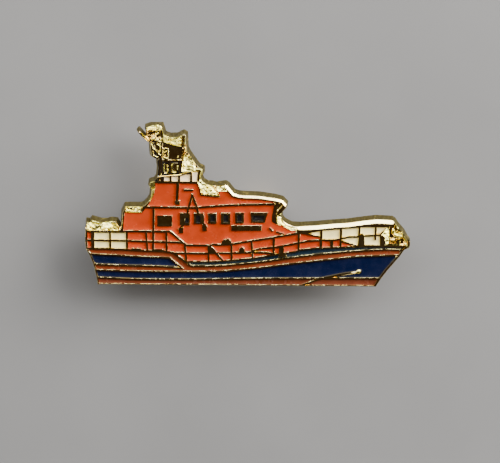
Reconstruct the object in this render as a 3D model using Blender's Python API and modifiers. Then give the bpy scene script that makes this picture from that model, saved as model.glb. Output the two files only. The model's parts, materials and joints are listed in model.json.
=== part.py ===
"""A lapel pin struck and enamelled in the shape of a lifeboat, seen from its starboard side.

It lies face up on its two butterfly clutches, as it comes to rest on a table. The face is drawn in millimetres:
u runs from the stern to the bow and v from the keel to the masthead, with (0, 0) at the stern's lower corner.
Heights on the badge are millimetres above its flat back. The finished objects are in metres, with +X towards
the bow, +Y towards the masthead, +Z out of the face, and the origin under the middle of the badge.
"""

from collections import defaultdict
from math import cos, pi, sin

import bmesh
import bpy
from mathutils import Matrix, Vector
from mathutils.geometry import delaunay_2d_cdt

MM = 0.001

# Heights above the flat back of the badge, in millimetres
POCKET = 0.75  # floor of an enamel pocket
GROUND = 1.05  # bare sunk metal
PANEL = 1.25  # flat panels of bare metal
WALL = 1.45  # tops of the walls that part the colours
ENAMEL_TOP = 1.22
SEAT = 0.02  # gap between the enamel, the posts and the metal that holds them
WELD = 0.002  # points of the drawing closer than this are one

# Back of the badge
PIN_U = {"aft": 7.7, "fore": 20.4}
PIN_V = 4.9
PIN_RADIUS = 0.5
PIN_PAD_RADIUS = 1.0
PIN_PAD_DEEP = 0.12
PIN_GROOVE_RADIUS = 0.38
PIN_LENGTH = 6.5

# Butterfly clutch, measured from the badge's back downwards and from the pin's axis outwards
CLUTCH_HOLE = 0.75
FLANGE_RADIUS = 4.2
FLANGE_TOP = 0.3
FLANGE_THICK = 0.35
FLANGE_LIP = 0.3
HOUSING_RADIUS = 2.5
HOUSING_END = 2.6
HOUSING_CHAMFER = 0.35
SLOT_HALF_WIDTH = 1.6
SLOT_HALF_HEIGHT = 0.45
SLOT_INNER = 1.05
WING_AXIS_OUT = 1.7
WING_AXIS_DOWN = 1.6
WING_THICK = 0.4
# Middle of the wing's sheet: (out from the hinge, down from the hinge, half width)
WING_ROWS = (
    (-0.40, 0.0, 1.3),
    (0.90, 0.0, 1.3),
    (1.25, 0.4, 1.6),
    (1.65, 1.8, 2.2),
    (2.05, 3.5, 2.3),
    (2.40, 4.7, 1.9),
    (2.70, 5.0, 1.5),
    (3.20, 5.0, 1.0),
)
TURN_STEPS = 32

# The back stands this high, so that the wings' rolled tips are on the ground
BACK = WING_AXIS_DOWN + WING_ROWS[-1][1] + WING_THICK / 2

# Outline of the face, anticlockwise from the stern's lower corner
OUTLINE = (
    (-0.2, -0.05), (34.6, -0.03), (35.2, 1.0), (35.9, 2.0), (36.7, 3.0), (37.5, 4.0), (38.0, 4.8),
    (38.6, 5.1), (38.72, 5.5), (38.7, 5.95), (38.35, 6.2), (37.8, 7.0), (37.1, 7.8), (36.7, 8.4),
    (36.4, 8.6), (34.5, 8.68), (33.0, 8.5), (31.0, 8.2), (29.0, 8.04), (27.0, 7.82), (25.0, 7.7),
    (24.0, 7.75), (23.35, 8.05), (22.85, 8.4), (22.6, 8.9), (22.65, 9.45), (22.95, 9.8), (23.2, 10.1),
    (23.25, 10.55), (22.8, 11.05), (22.0, 11.27), (20.0, 11.58), (18.0, 11.65), (17.4, 11.7),
    (16.75, 11.9), (16.3, 12.45), (16.0, 12.85), (15.7, 13.0), (14.55, 12.8), (14.05, 12.95),
    (13.55, 12.95), (12.9, 13.35), (12.65, 14.0), (12.9, 14.4), (12.9, 15.0), (12.4, 15.2), (12.0, 15.7),
    (11.2, 16.9), (10.9, 17.5), (10.85, 19.3), (10.6, 19.45), (9.9, 19.05), (8.9, 19.0), (8.2, 19.3),
    (8.0, 19.9), (7.85, 20.45), (7.3, 20.6), (6.6, 20.45), (6.0, 20.2), (5.95, 19.1), (5.15, 19.8),
    (4.98, 19.6), (5.95, 18.45), (6.4, 18.35), (6.55, 16.6), (6.7, 16.4), (7.3, 16.1), (7.45, 15.0),
    (7.35, 13.9), (7.0, 13.4), (6.45, 13.25), (6.35, 12.7), (6.6, 12.2), (6.5, 11.3), (6.2, 10.8),
    (5.75, 10.3), (5.35, 10.1), (3.35, 10.1), (3.0, 9.3), (2.85, 7.7), (2.6, 7.3), (2.55, 7.6),
    (2.2, 8.1), (1.6, 8.15), (1.0, 7.98), (0.3, 8.0), (-0.8, 8.35), (-1.1, 7.95), (-1.45, 8.1),
    (-1.5, 7.8), (-1.65, 7.3), (-1.7, 5.5), (-1.6, 4.6), (-1.1, 3.6), (-0.75, 2.7), (-0.35, 1.0),
)

# Areas of bare metal: (name, height, corners). They may run past the outline, which trims them.
GROUNDS = (
    ("masts", GROUND, (
        (6.9, 13.3), (12.2, 13.3), (12.5, 12.8), (12.75, 11.75), (14.9, 11.6), (15.0, 12.1), (16.05, 12.15),
        (16.5, 11.4), (17.5, 12.5), (16.5, 14.0), (13.5, 16.0), (11.5, 21.0), (4.5, 21.0), (4.5, 18.0),
        (6.2, 13.3))),
    ("house_corner", WALL, (
        (5.3, 10.6), (5.3, 9.4), (5.4, 9.4), (6.0, 10.15), (6.35, 10.7), (6.85, 11.7), (7.05, 12.7),
        (7.05, 13.5), (6.0, 13.5), (6.0, 11.2))),
    ("aft_block_lip", PANEL, ((3.2, 9.42), (5.35, 9.42), (5.45, 10.4), (3.0, 10.4))),
    ("stern_gear", PANEL, ((-2.0, 6.95), (2.75, 6.95), (2.75, 8.8), (-2.0, 8.8))),
    ("fore_rim", WALL, (
        (24.5, 6.95), (26.0, 6.95), (26.5, 7.1), (28.0, 7.4), (30.0, 7.6), (32.0, 7.77), (33.0, 7.87),
        (36.1, 7.87), (37.3, 7.9), (37.0, 9.2), (24.5, 9.2))),
    ("front_wall", PANEL, (
        (21.8, 11.4), (21.75, 10.5), (21.5, 9.0), (21.5, 8.3), (22.0, 8.0), (22.6, 7.8), (24.0, 9.5),
        (23.6, 11.4))),
    ("bow_gear", GROUND, (
        (35.4, 5.3), (39.0, 5.2), (39.0, 8.0), (36.3, 8.1), (36.1, 7.87), (34.95, 6.8), (34.95, 5.3))),
)

# Walls: (name, width, centre line)
RAIL, HULL_LINE, POST = 0.2, 0.16, 0.22
WALLS = (
    # Rims, drawn on the outline, so half of each is trimmed
    ("keel", 0.28, ((-0.4, -0.05), (34.8, -0.03))),
    ("bow", 0.5, ((34.4, -0.3), (35.2, 1.0), (35.9, 2.0), (36.7, 3.0), (37.5, 4.0), (38.0, 4.8), (38.8, 5.2))),
    ("bow_rail", 0.5, ((38.72, 5.0), (38.7, 5.95), (38.35, 6.2), (37.8, 7.0), (37.1, 7.8), (36.8, 8.4))),
    ("stern", 0.36, ((-0.2, -0.2), (-0.35, 1.0), (-0.75, 2.7), (-1.1, 3.6), (-1.6, 4.6))),
    ("stern_post", 0.5, ((-1.6, 4.4), (-1.7, 5.5), (-1.65, 7.3))),
    ("aft_block_side", 0.42, ((2.84, 6.9), (2.85, 7.7), (3.0, 9.3), (3.3, 10.2))),
    ("roof_rim", 0.8, (
        (15.9, 13.1), (16.3, 12.45), (16.75, 11.9), (17.4, 11.7), (18.0, 11.65), (20.0, 11.58),
        (22.0, 11.27), (22.8, 11.05), (23.25, 10.55), (23.2, 10.1))),
    ("notch_rim", 1.0, (
        (23.2, 10.1), (22.95, 9.8), (22.65, 9.45), (22.6, 8.9), (22.85, 8.4), (23.35, 8.05), (24.0, 7.75),
        (25.2, 7.7))),
    # Lines of the hull
    ("waterline", HULL_LINE, (
        (-0.5, 0.87), (4.0, 0.70), (8.0, 0.67), (12.0, 0.71), (16.0, 0.80), (20.0, 0.90), (25.0, 0.95),
        (30.0, 1.02), (35.3, 1.06))),
    ("stripe_foot", HULL_LINE, (
        (-0.7, 1.92), (0.0, 1.84), (4.0, 1.74), (8.0, 1.70), (12.0, 1.73), (15.0, 1.78), (18.0, 2.10),
        (20.0, 2.30), (24.0, 2.88), (28.0, 3.40), (32.0, 3.88), (34.0, 3.98), (36.0, 4.08), (37.6, 4.12))),
    ("aft_stripe", HULL_LINE, (
        (-0.85, 2.68), (0.0, 2.56), (4.0, 2.45), (8.0, 2.38), (10.3, 2.2), (8.8, 3.5), (8.0, 3.57),
        (6.0, 3.60), (4.0, 3.69), (2.0, 3.81), (0.0, 3.88), (-1.0, 3.95), (-1.45, 4.3))),
    ("fore_stripe_foot", HULL_LINE, (
        (10.95, 2.95), (11.15, 2.72), (11.5, 2.47), (14.0, 2.48), (15.5, 2.57), (18.0, 2.82), (20.0, 3.06),
        (22.0, 3.35), (25.0, 3.83), (28.0, 4.22), (30.0, 4.42), (32.0, 4.60), (34.0, 4.75), (36.0, 4.85),
        (38.1, 4.80))),
    ("deck_edge", HULL_LINE, (
        (10.9, 3.05), (13.5, 3.05), (15.0, 3.12), (17.0, 3.33), (19.0, 3.55), (20.0, 3.68), (22.0, 4.08),
        (24.5, 4.48), (25.0, 4.72), (27.0, 4.95), (30.0, 5.08), (31.0, 5.13), (32.0, 5.26))),
    ("fore_deck_edge", 0.26, ((31.8, 5.24), (33.0, 5.29), (36.0, 5.32), (38.7, 5.25))),
    ("chine", 0.2, ((25.0, -0.1), (26.0, 0.32), (27.4, 0.9), (28.8, 1.2), (30.1, 1.5), (32.3, 1.88))),
    # Rails
    ("stern_rail_foot", RAIL, (
        (-1.65, 4.66), (1.0, 4.65), (3.0, 4.57), (6.0, 4.42), (8.0, 4.40), (9.3, 4.2), (10.9, 2.9))),
    ("stern_rail_middle", RAIL, ((-1.6, 5.75), (3.4, 5.72), (6.0, 5.62), (10.4, 5.55))),
    ("cabin_foot", RAIL, (
        (-1.6, 6.87), (3.0, 6.87), (4.0, 6.95), (8.9, 6.95), (10.85, 5.2), (13.8, 5.17), (14.2, 5.3),
        (15.3, 5.3), (17.0, 5.47), (19.0, 5.83), (21.0, 6.16), (23.0, 6.55), (25.0, 6.9), (26.0, 6.95),
        (26.5, 7.1), (28.0, 7.4), (30.0, 7.6), (32.0, 7.77), (33.0, 7.87), (36.1, 7.87))),
    ("side_rail", RAIL, ((9.35, 4.15), (13.5, 4.13), (14.0, 4.2), (16.0, 4.2), (19.0, 4.34))),
    ("toe_rail", RAIL, ((18.9, 4.34), (21.0, 4.3), (21.9, 4.12))),
    ("fore_rail", RAIL, (
        (18.9, 4.3), (19.3, 4.55), (20.0, 4.8), (22.0, 5.02), (24.0, 5.43), (26.0, 5.87), (28.0, 6.03),
        (29.0, 5.98), (30.0, 6.2), (31.0, 6.43), (33.0, 6.6), (35.05, 6.75))),
    ("bow_stay", POST, ((34.85, 6.65), (36.1, 7.9))),
    ("wedge_line", HULL_LINE, ((30.0, 5.95), (30.6, 5.75), (32.0, 5.35))),
    # Lines on the deck house
    ("house_slope", HULL_LINE, ((25.1, 7.0), (27.55, 6.38))),
    ("step", HULL_LINE, ((22.1, 7.0), (23.0, 6.7))),
    ("grip", HULL_LINE, ((21.2, 7.5), (21.6, 7.1))),
    ("roof", RAIL, (
        (6.0, 10.08), (12.0, 10.05), (14.0, 10.25), (16.0, 10.4), (18.0, 10.5), (21.8, 10.6))),
    ("house_pole", 0.3, ((9.85, 13.4), (9.72, 10.7))),
    ("dash", RAIL, ((10.55, 12.35), (11.7, 12.3))),
    ("mast_leg_aft", POST, ((11.65, 11.8), (11.2, 10.2), (11.0, 9.2))),
    ("mast_leg_fore", POST, ((11.6, 11.8), (12.2, 10.1), (12.4, 9.2))),
    ("window_stay_aft", POST, ((10.6, 7.95), (9.95, 7.2))),
    ("window_stay_fore", POST, ((12.95, 9.1), (12.97, 8.1), (13.4, 7.5))),
    # Masts and rigging, on sunk metal
    ("house_top", RAIL, ((6.9, 13.3), (12.25, 13.3), (12.55, 12.8), (12.7, 11.75), (15.0, 11.55))),
    ("bridge_rail", RAIL, ((7.2, 13.85), (7.9, 14.05), (9.0, 14.15), (10.0, 14.3), (11.0, 14.5), (11.5, 14.6))),
    ("mast_1", POST, ((7.85, 13.3), (7.85, 20.3))),
    ("mast_2", POST, ((8.95, 13.3), (8.92, 17.0))),
    ("mast_3", POST, ((10.0, 13.3), (10.08, 16.3))),
    ("mast_4", POST, ((10.35, 14.8), (10.65, 19.3))),
    ("mast_5", POST, ((11.5, 13.3), (11.48, 14.6))),
    ("mast_6", 0.18, ((7.58, 13.5), (7.6, 16.1))),
    ("crescent", RAIL, ((6.65, 18.2), (6.9, 17.6), (7.3, 17.0), (7.8, 16.65))),
    ("hook", RAIL, ((6.9, 16.9), (6.95, 16.55), (7.45, 16.45))),
    ("aerial", 0.25, ((5.05, 19.72), (6.3, 18.5))),
    ("stern_rib", 0.18, ((1.75, 7.95), (2.15, 7.85), (2.4, 7.5), (2.5, 7.0))),
)

# Posts of the rails: (name, width, top, foot)
POSTS = (
    ("P0", 0.4, (-0.75, 6.9), (-0.75, 4.6)),
    ("P1", POST, (1.42, 6.9), (1.42, 4.6)),
    ("P2", POST, (3.5, 6.9), (3.5, 4.55)),
    ("P3", RAIL, (5.88, 6.95), (6.05, 4.4)),
    ("P4", 0.24, (6.85, 10.1), (6.75, 4.4)),
    ("P5", POST, (8.4, 6.95), (8.45, 4.35)),
    ("P6", POST, (10.7, 5.35), (10.9, 2.95)),
    ("P7", RAIL, (13.65, 5.2), (13.65, 3.05)),
    ("brace", RAIL, (13.75, 5.25), (15.5, 3.1)),
    ("P8", POST, (16.52, 5.4), (16.52, 3.25)),
    ("P9", RAIL, (19.0, 5.85), (19.15, 3.5)),
    ("P10", 0.26, (21.75, 6.3), (21.75, 4.0)),
    ("P11", 0.24, (24.85, 6.9), (24.85, 4.6)),
    ("P12", 0.3, (27.65, 7.35), (27.6, 5.0)),
    ("P13", 0.26, (30.1, 7.65), (30.05, 5.05)),
    ("P14", POST, (32.4, 7.85), (32.3, 6.4)),
    ("P15", POST, (34.4, 7.9), (34.35, 6.1)),
)

# Raised patches of metal: (name, height, corners)
PATCHES = (
    ("door_plate", WALL, ((7.3, 7.65), (9.1, 7.65), (9.1, 9.0), (7.3, 9.0))),
    ("grab_bar", WALL, ((16.5, 7.15), (20.2, 7.2), (20.2, 7.8), (16.5, 7.8))),
    ("pole_foot", WALL, ((9.5, 10.45), (10.05, 10.45), (10.05, 10.95), (9.5, 10.95))),
    ("stay_foot_aft", WALL, ((10.0, 6.75), (10.45, 6.8), (10.5, 7.5), (9.95, 7.4))),
    ("stay_foot_fore", WALL, ((12.88, 7.1), (13.4, 7.1), (13.4, 7.7), (12.9, 7.9))),
    ("window_1", WALL, ((10.1, 7.85), (11.3, 7.8), (11.3, 9.35), (10.1, 9.35))),
    ("window_2", WALL, ((11.85, 8.0), (13.0, 8.0), (13.0, 9.35), (11.85, 9.35))),
    ("window_3", WALL, ((13.6, 8.05), (14.6, 8.05), (14.6, 9.35), (13.6, 9.35))),
    ("window_4", WALL, ((15.2, 8.0), (16.3, 8.0), (16.3, 9.4), (15.2, 9.4))),
    ("window_5", WALL, ((16.95, 8.1), (18.0, 8.1), (18.0, 9.45), (16.95, 9.45))),
    ("window_6", WALL, ((18.95, 8.2), (20.6, 8.25), (20.95, 9.5), (18.85, 9.5))),
    ("locker_1", WALL, ((4.0, 4.45), (5.3, 4.42), (5.25, 4.7), (4.1, 4.75))),
    ("locker_2", WALL, ((6.75, 4.35), (8.4, 4.3), (7.9, 4.62), (6.8, 4.66))),
    ("capstan", WALL, ((15.2, 5.3), (16.6, 5.3), (16.4, 5.85), (16.1, 6.05), (15.6, 6.0), (15.35, 5.75))),
    ("vent", WALL, ((17.4, 4.25), (18.2, 4.25), (18.1, 4.8), (17.8, 5.0), (17.5, 4.8))),
    ("brace_web", WALL, ((13.6, 4.1), (14.65, 4.1), (13.95, 4.95), (13.6, 5.0))),
    ("fairlead", WALL, ((22.35, 3.75), (23.4, 3.85), (23.2, 4.25), (22.6, 4.15))),
    ("fender", WALL, ((22.42, 4.1), (23.0, 4.2), (23.0, 5.25), (22.42, 5.1))),
    ("stanchion", WALL, ((28.78, 5.0), (29.14, 5.0), (29.14, 6.0), (28.78, 6.0))),
    ("bollard", WALL, ((32.2, 5.2), (33.05, 5.25), (32.95, 6.6), (32.75, 6.9), (32.55, 6.85), (32.3, 6.5))),
    ("bow_block", WALL, ((34.95, 5.3), (35.5, 5.3), (35.5, 6.7), (34.95, 6.75))),
    ("radar_panel", PANEL, ((7.9, 16.1), (10.4, 16.1), (10.6, 17.6), (7.9, 18.25))),
    ("radar_top", WALL, ((8.1, 18.4), (10.3, 17.85), (10.5, 19.3), (8.1, 19.3))),
    ("masthead", WALL, ((5.9, 19.85), (8.1, 19.85), (7.9, 20.7), (5.9, 20.7))),
    ("windlass_base", WALL, (
        (35.9, 7.65), (35.1, 6.85), (35.5, 6.5), (35.7, 5.4), (37.42, 5.4), (37.42, 6.35), (37.1, 6.35),
        (37.05, 6.1), (36.15, 6.1), (36.15, 6.6), (36.05, 7.6))),
    ("anchor_plate", PANEL, (
        (36.45, 7.55), (36.35, 7.0), (36.6, 6.6), (37.0, 6.35), (37.5, 6.2), (37.85, 6.4), (37.75, 7.0),
        (37.1, 7.05), (36.85, 7.2), (36.75, 7.6))),
    ("stays", PANEL, (
        (10.5, 14.7), (11.6, 14.65), (12.4, 14.7), (12.95, 15.0), (11.7, 16.4), (11.1, 17.3), (10.6, 16.5))),
    ("stays_foot", PANEL, (
        (12.3, 14.9), (12.35, 13.3), (12.75, 11.8), (14.9, 11.65), (14.3, 12.6), (13.2, 13.3), (12.7, 14.0),
        (12.9, 14.7))),
)

# Discs of metal: (name, height, centre, radius along u, radius along v)
DISCS = (
    ("chine_end", WALL, (32.42, 1.9), 0.3, 0.22),
    ("lamp_1", WALL, (6.85, 18.8), 0.32, 0.28),
    ("lamp_2", WALL, (7.55, 18.6), 0.28, 0.28),
)
DISC_SIDES = 10

# Sunk again into the metal: (name, height, corners). Those at pocket height hold enamel.
WELLS = (
    ("pane_1", POCKET, ((10.75, 8.1), (11.1, 8.1), (11.1, 8.65), (10.75, 8.65))),
    ("pane_2", POCKET, ((12.1, 8.1), (12.6, 8.1), (12.6, 8.95), (12.1, 8.95))),
    ("pane_3", POCKET, ((13.9, 8.35), (14.35, 8.35), (14.35, 9.05), (13.9, 9.05))),
    ("pane_4", POCKET, ((15.55, 8.3), (16.0, 8.3), (16.0, 9.1), (15.55, 9.1))),
    ("pane_5", POCKET, ((17.25, 8.4), (17.65, 8.4), (17.65, 9.05), (17.25, 9.05))),
    ("pane_6", POCKET, ((19.15, 8.55), (20.4, 8.55), (20.5, 9.05), (19.15, 9.05))),
    ("bridge_1", POCKET, ((7.45, 13.45), (7.7, 13.45), (7.7, 13.8))),
    ("bridge_2", POCKET, ((8.15, 13.45), (8.82, 13.45), (8.82, 13.95), (8.15, 13.9))),
    ("bridge_3", POCKET, ((9.1, 13.43), (9.85, 13.43), (9.88, 14.1), (9.1, 14.02))),
    ("bridge_4", POCKET, ((10.15, 13.43), (11.35, 13.43), (11.35, 14.35), (11.1, 14.38), (10.15, 14.12))),
    ("bridge_5", POCKET, ((11.65, 13.43), (12.2, 13.43), (12.25, 14.5), (11.65, 14.5))),
    ("rack_1", 0.9, ((8.1, 14.35), (8.75, 14.4), (8.75, 15.65), (8.1, 15.65))),
    ("rack_2", 0.9, ((9.1, 14.45), (9.9, 14.5), (9.95, 15.7), (9.1, 15.7))),
    ("masthead_gap", 0.9, ((6.05, 19.15), (6.95, 19.15), (6.95, 19.75), (6.05, 19.75))),
    ("windlass_gap", GROUND, ((36.1, 5.65), (37.0, 5.65), (37.0, 5.95), (36.1, 5.95))),
)

ORANGE, RUST, STRIPE = (0.58, 0.09, 0.03), (0.31, 0.075, 0.033), (0.38, 0.10, 0.03)
NAVY, TEAL, CREAM, PALE = (0.004, 0.013, 0.08), (0.007, 0.026, 0.045), (0.83, 0.80, 0.68), (0.86, 0.76, 0.72)
GOLD = (0.80, 0.56, 0.24)

# Enamel: (name, colour, a point of the pocket that it fills)
ENAMELS = (
    ("boot_stripe_aft", RUST, (10.0, 0.35)),
    ("boot_stripe_fore", RUST, (31.0, 0.5)),
    ("lower_hull_blue", NAVY, (12.0, 1.2)),
    ("sheer_stripe", STRIPE, (5.0, 2.1)),
    ("aft_hull_blue", NAVY, (5.0, 3.0)),
    ("upper_stripe", TEAL, (15.0, 2.8)),
    ("stern_edge_upper", ORANGE, (-1.15, 6.3)),
    ("stern_edge_lower", ORANGE, (-1.15, 5.2)),
    ("stern_white_1_upper", CREAM, (0.4, 6.3)),
    ("stern_white_1_lower", CREAM, (0.4, 5.2)),
    ("stern_white_2_upper", CREAM, (2.4, 6.3)),
    ("stern_white_2_lower", CREAM, (2.4, 5.2)),
    ("side_orange_1_upper", ORANGE, (4.7, 6.3)),
    ("side_orange_1_lower", ORANGE, (4.7, 5.2)),
    ("side_orange_2_upper", ORANGE, (6.35, 6.3)),
    ("side_orange_2_lower", ORANGE, (6.35, 5.2)),
    ("side_orange_3_upper", ORANGE, (7.6, 6.3)),
    ("side_orange_3_lower", ORANGE, (7.6, 5.2)),
    ("side_orange_4_upper", ORANGE, (8.9, 6.2)),
    ("side_orange_4_lower", ORANGE, (9.5, 5.0)),
    ("side_orange_5_lower", ORANGE, (10.5, 3.7)),
    ("side_orange_6_upper", ORANGE, (12.3, 4.7)),
    ("side_orange_6_lower", ORANGE, (12.3, 3.6)),
    ("side_orange_7_upper", ORANGE, (15.5, 4.8)),
    ("side_orange_7_lower", ORANGE, (15.9, 3.8)),
    ("side_orange_8_upper", ORANGE, (18.6, 5.0)),
    ("side_orange_8_lower", ORANGE, (17.7, 3.8)),
    ("side_orange_9_upper", ORANGE, (20.4, 5.5)),
    ("side_orange_9_middle", ORANGE, (21.0, 4.62)),
    ("side_orange_9_lower", ORANGE, (20.4, 4.0)),
    ("side_orange_10_upper", ORANGE, (23.4, 5.9)),
    ("side_orange_10_lower", ORANGE, (24.0, 4.9)),
    ("side_orange_11_upper", ORANGE, (25.6, 6.3)),
    ("side_orange_11_lower", ORANGE, (26.3, 5.4)),
    ("side_orange_12_lower", ORANGE, (28.2, 5.5)),
    ("fore_white_1", CREAM, (27.2, 6.75)),
    ("fore_white_2", CREAM, (28.8, 6.8)),
    ("fore_white_3", CREAM, (31.2, 7.1)),
    ("fore_white_4", CREAM, (33.4, 7.4)),
    ("fore_white_5", CREAM, (34.8, 7.4)),
    ("fore_white_3_lower", CREAM, (31.7, 6.1)),
    ("fore_white_4_lower", CREAM, (33.7, 6.0)),
    ("aft_house_orange", ORANGE, (4.5, 8.2)),
    ("deck_house_orange", ORANGE, (14.0, 6.8)),
    ("wheelhouse_orange", ORANGE, (8.5, 11.5)),
    ("bridge_white_2", PALE, (8.5, 13.7)),
    ("bridge_white_3", PALE, (9.5, 13.7)),
    ("bridge_white_4", PALE, (10.8, 13.8)),
    ("bridge_white_5", PALE, (11.9, 13.9)),
)


def drawing_middle():
    """The middle of the outline's box, which is over the origin."""
    us, vs = [p[0] for p in OUTLINE], [p[1] for p in OUTLINE]
    return (min(us) + max(us)) / 2, (min(vs) + max(vs)) / 2


MIDDLE_U, MIDDLE_V = drawing_middle()


def clear_scene():
    for obj in list(bpy.data.objects):
        bpy.data.objects.remove(obj)


def new_collection(name):
    made = bpy.data.collections.new(name)
    bpy.context.scene.collection.children.link(made)
    return made


def material(name, colour, roughness, metallic):
    made = bpy.data.materials.get(name)
    if made is None:
        made = bpy.data.materials.new(name)
        made.use_nodes = True
        shader = made.node_tree.nodes["Principled BSDF"]
        shader.inputs["Base Color"].default_value = (*colour, 1.0)
        shader.inputs["Roughness"].default_value = roughness
        shader.inputs["Metallic"].default_value = metallic
    return made


def gold():
    return material("gold_plate", GOLD, 0.25, 1.0)


def enamel(colour):
    return material("enamel_" + "_".join(f"{part:.2f}" for part in colour), colour, 0.15, 0.0)


def add_object(name, mesh, collection, look, at=(0.0, 0.0, 0.0)):
    """An object whose mesh is in millimetres around the point `at`, which is in metres."""
    mesh.transform(Matrix.Scale(MM, 4))
    obj = bpy.data.objects.new(name, mesh)
    obj.location = at
    mesh.materials.append(look)
    collection.objects.link(obj)
    return obj


def ribbon(points, width):
    """Outline of a line of this width, with mitred bends."""
    points = [Vector(p) for p in points]
    ways = [(b - a).normalized() for a, b in zip(points, points[1:])]
    sides = []
    for way_in, way_out in zip([ways[0], *ways], [*ways, ways[-1]]):
        across_in, across_out = Vector((-way_in.y, way_in.x)), Vector((-way_out.y, way_out.x))
        sides.append((across_in + across_out) / (1 + across_in.dot(across_out)) * width / 2)
    left = [p + side for p, side in zip(points, sides)]
    right = [p - side for p, side in zip(points, sides)]
    return [tuple(p) for p in right + left[::-1]]


def disc(centre, radius_u, radius_v):
    turns = [2 * pi * i / DISC_SIDES for i in range(DISC_SIDES)]
    return [(centre[0] + radius_u * cos(t), centre[1] + radius_v * sin(t)) for t in turns]


def anticlockwise(ring):
    area = sum(a[0] * b[1] - b[0] * a[1] for a, b in zip(ring, [*ring[1:], ring[0]]))
    return list(ring) if area > 0 else list(ring)[::-1]


def face_shapes():
    """Every shape of the face as (corners, height), each laid over the ones before it."""
    shapes = [(OUTLINE, POCKET)]
    shapes += [(corners, height) for _, height, corners in GROUNDS]
    shapes += [(ribbon(line, width), WALL) for _, width, line in WALLS]
    shapes += [(ribbon(ends, width), WALL) for _, width, *ends in POSTS]
    shapes += [(corners, height) for _, height, corners in PATCHES]
    shapes += [(disc(centre, ru, rv), height) for _, height, centre, ru, rv in DISCS]
    shapes += [(corners, height) for _, height, corners in WELLS]
    return [(anticlockwise(corners), height) for corners, height in shapes]


def arrange(shapes):
    """The drawing cut into triangles along every edge: (points, triangles, height of each triangle)."""
    points, rings = [], []
    for corners, _ in shapes:
        rings.append(list(range(len(points), len(points) + len(corners))))
        points += [Vector(p) for p in corners]
    where, _, triangles, _, _, owners = delaunay_2d_cdt(points, [], rings, 0, WELD)
    inside = [(t, shapes[max(o)][1]) for t, o in zip(triangles, owners) if 0 in o]
    middle = Vector((MIDDLE_U, MIDDLE_V))
    return [p - middle for p in where], [list(t) for t, _ in inside], [h for _, h in inside]


def edges_of(triangle):
    return zip(triangle, [*triangle[1:], triangle[0]])


def outer_loop(triangles):
    """The points around the outside of the triangles, anticlockwise."""
    edges = {edge for t in triangles for edge in edges_of(t)}
    follows = {a: b for a, b in edges if (b, a) not in edges}
    loop = [next(iter(sorted(follows)))]
    while follows[loop[-1]] != loop[0]:
        loop.append(follows[loop[-1]])
    return loop


def struck_mesh(points, triangles, heights):
    """One closed body with each triangle at its own height, upright sides between them and a flat back."""
    sides = {edge: height for t, height in zip(triangles, heights) for edge in edges_of(t)}
    levels = defaultdict(set)
    for (a, b), height in sides.items():
        below = sides.get((b, a), 0.0)
        for point in (a, b):
            levels[point] |= {height, below}

    bm = bmesh.new()
    corners = {}

    def corner(point, height):
        if (point, height) not in corners:
            corners[point, height] = bm.verts.new((*points[point], height))
        return corners[point, height]

    for triangle, height in zip(triangles, heights):
        bm.faces.new([corner(p, height) for p in triangle])
    for (a, b), height in sides.items():
        foot = sides.get((b, a), 0.0)
        if height <= foot:
            continue
        down = sorted((z for z in levels[a] if foot <= z <= height), reverse=True)
        up = sorted(z for z in levels[b] if foot <= z <= height)
        bm.faces.new([corner(a, z) for z in down] + [corner(b, z) for z in up])
    bm.faces.new([corner(p, 0.0) for p in reversed(outer_loop(triangles))])
    mesh = bpy.data.meshes.new("struck_body")
    bm.to_mesh(mesh)
    bm.free()
    return mesh


def make_struck_body(collection, points, triangles, heights):
    mesh = struck_mesh(points, triangles, heights)
    return add_object("struck_body", mesh, collection, gold(), (0.0, 0.0, BACK * MM))


def pockets(triangles, heights):
    """The triangles of each enamel pocket, one list for each pocket."""
    left = {tuple(t) for t, height in zip(triangles, heights) if height == POCKET}
    across = {edge: t for t in left for edge in edges_of(t)}
    found = []
    while left:
        pocket, queue = [], [min(left)]
        left.discard(queue[0])
        while queue:
            here = queue.pop()
            pocket.append(here)
            for a, b in edges_of(here):
                there = across.get((b, a))
                if there in left:
                    left.discard(there)
                    queue.append(there)
        found.append(pocket)
    return found


def holds(points, triangle, spot):
    corners = [points[p] for p in triangle]
    return all((b - a).cross(spot - a) >= 0 for a, b in edges_of(corners))


def make_enamel(collection, name, colour, points, pocket):
    """Enamel with the pocket's own outline, a hair inside its walls."""
    bm = bmesh.new()
    used = sorted({p for t in pocket for p in t})
    verts = {p: bm.verts.new((*points[p], 0.0)) for p in used}
    for triangle in pocket:
        bm.faces.new([verts[p] for p in triangle])
    edge_ring = bmesh.ops.inset_region(
        bm, faces=bm.faces[:], thickness=SEAT, use_boundary=True, use_even_offset=True
    )
    bmesh.ops.delete(bm, geom=edge_ring["faces"], context="FACES")
    mesh = bpy.data.meshes.new(name)
    bm.to_mesh(mesh)
    bm.free()
    obj = add_object(name, mesh, collection, enamel(colour), (0.0, 0.0, (BACK + ENAMEL_TOP) * MM))
    fill = obj.modifiers.new("fill", "SOLIDIFY")
    fill.thickness = (ENAMEL_TOP - POCKET - SEAT) * MM
    fill.offset = -1.0
    return obj


def make_enamels(collection, points, triangles, heights):
    found = pockets(triangles, heights)
    for name, colour, (u, v) in ENAMELS:
        spot = Vector((u - MIDDLE_U, v - MIDDLE_V))
        pocket = next(p for p in found if any(holds(points, t, spot) for t in p))
        make_enamel(collection, name, colour, points, pocket)


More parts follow.
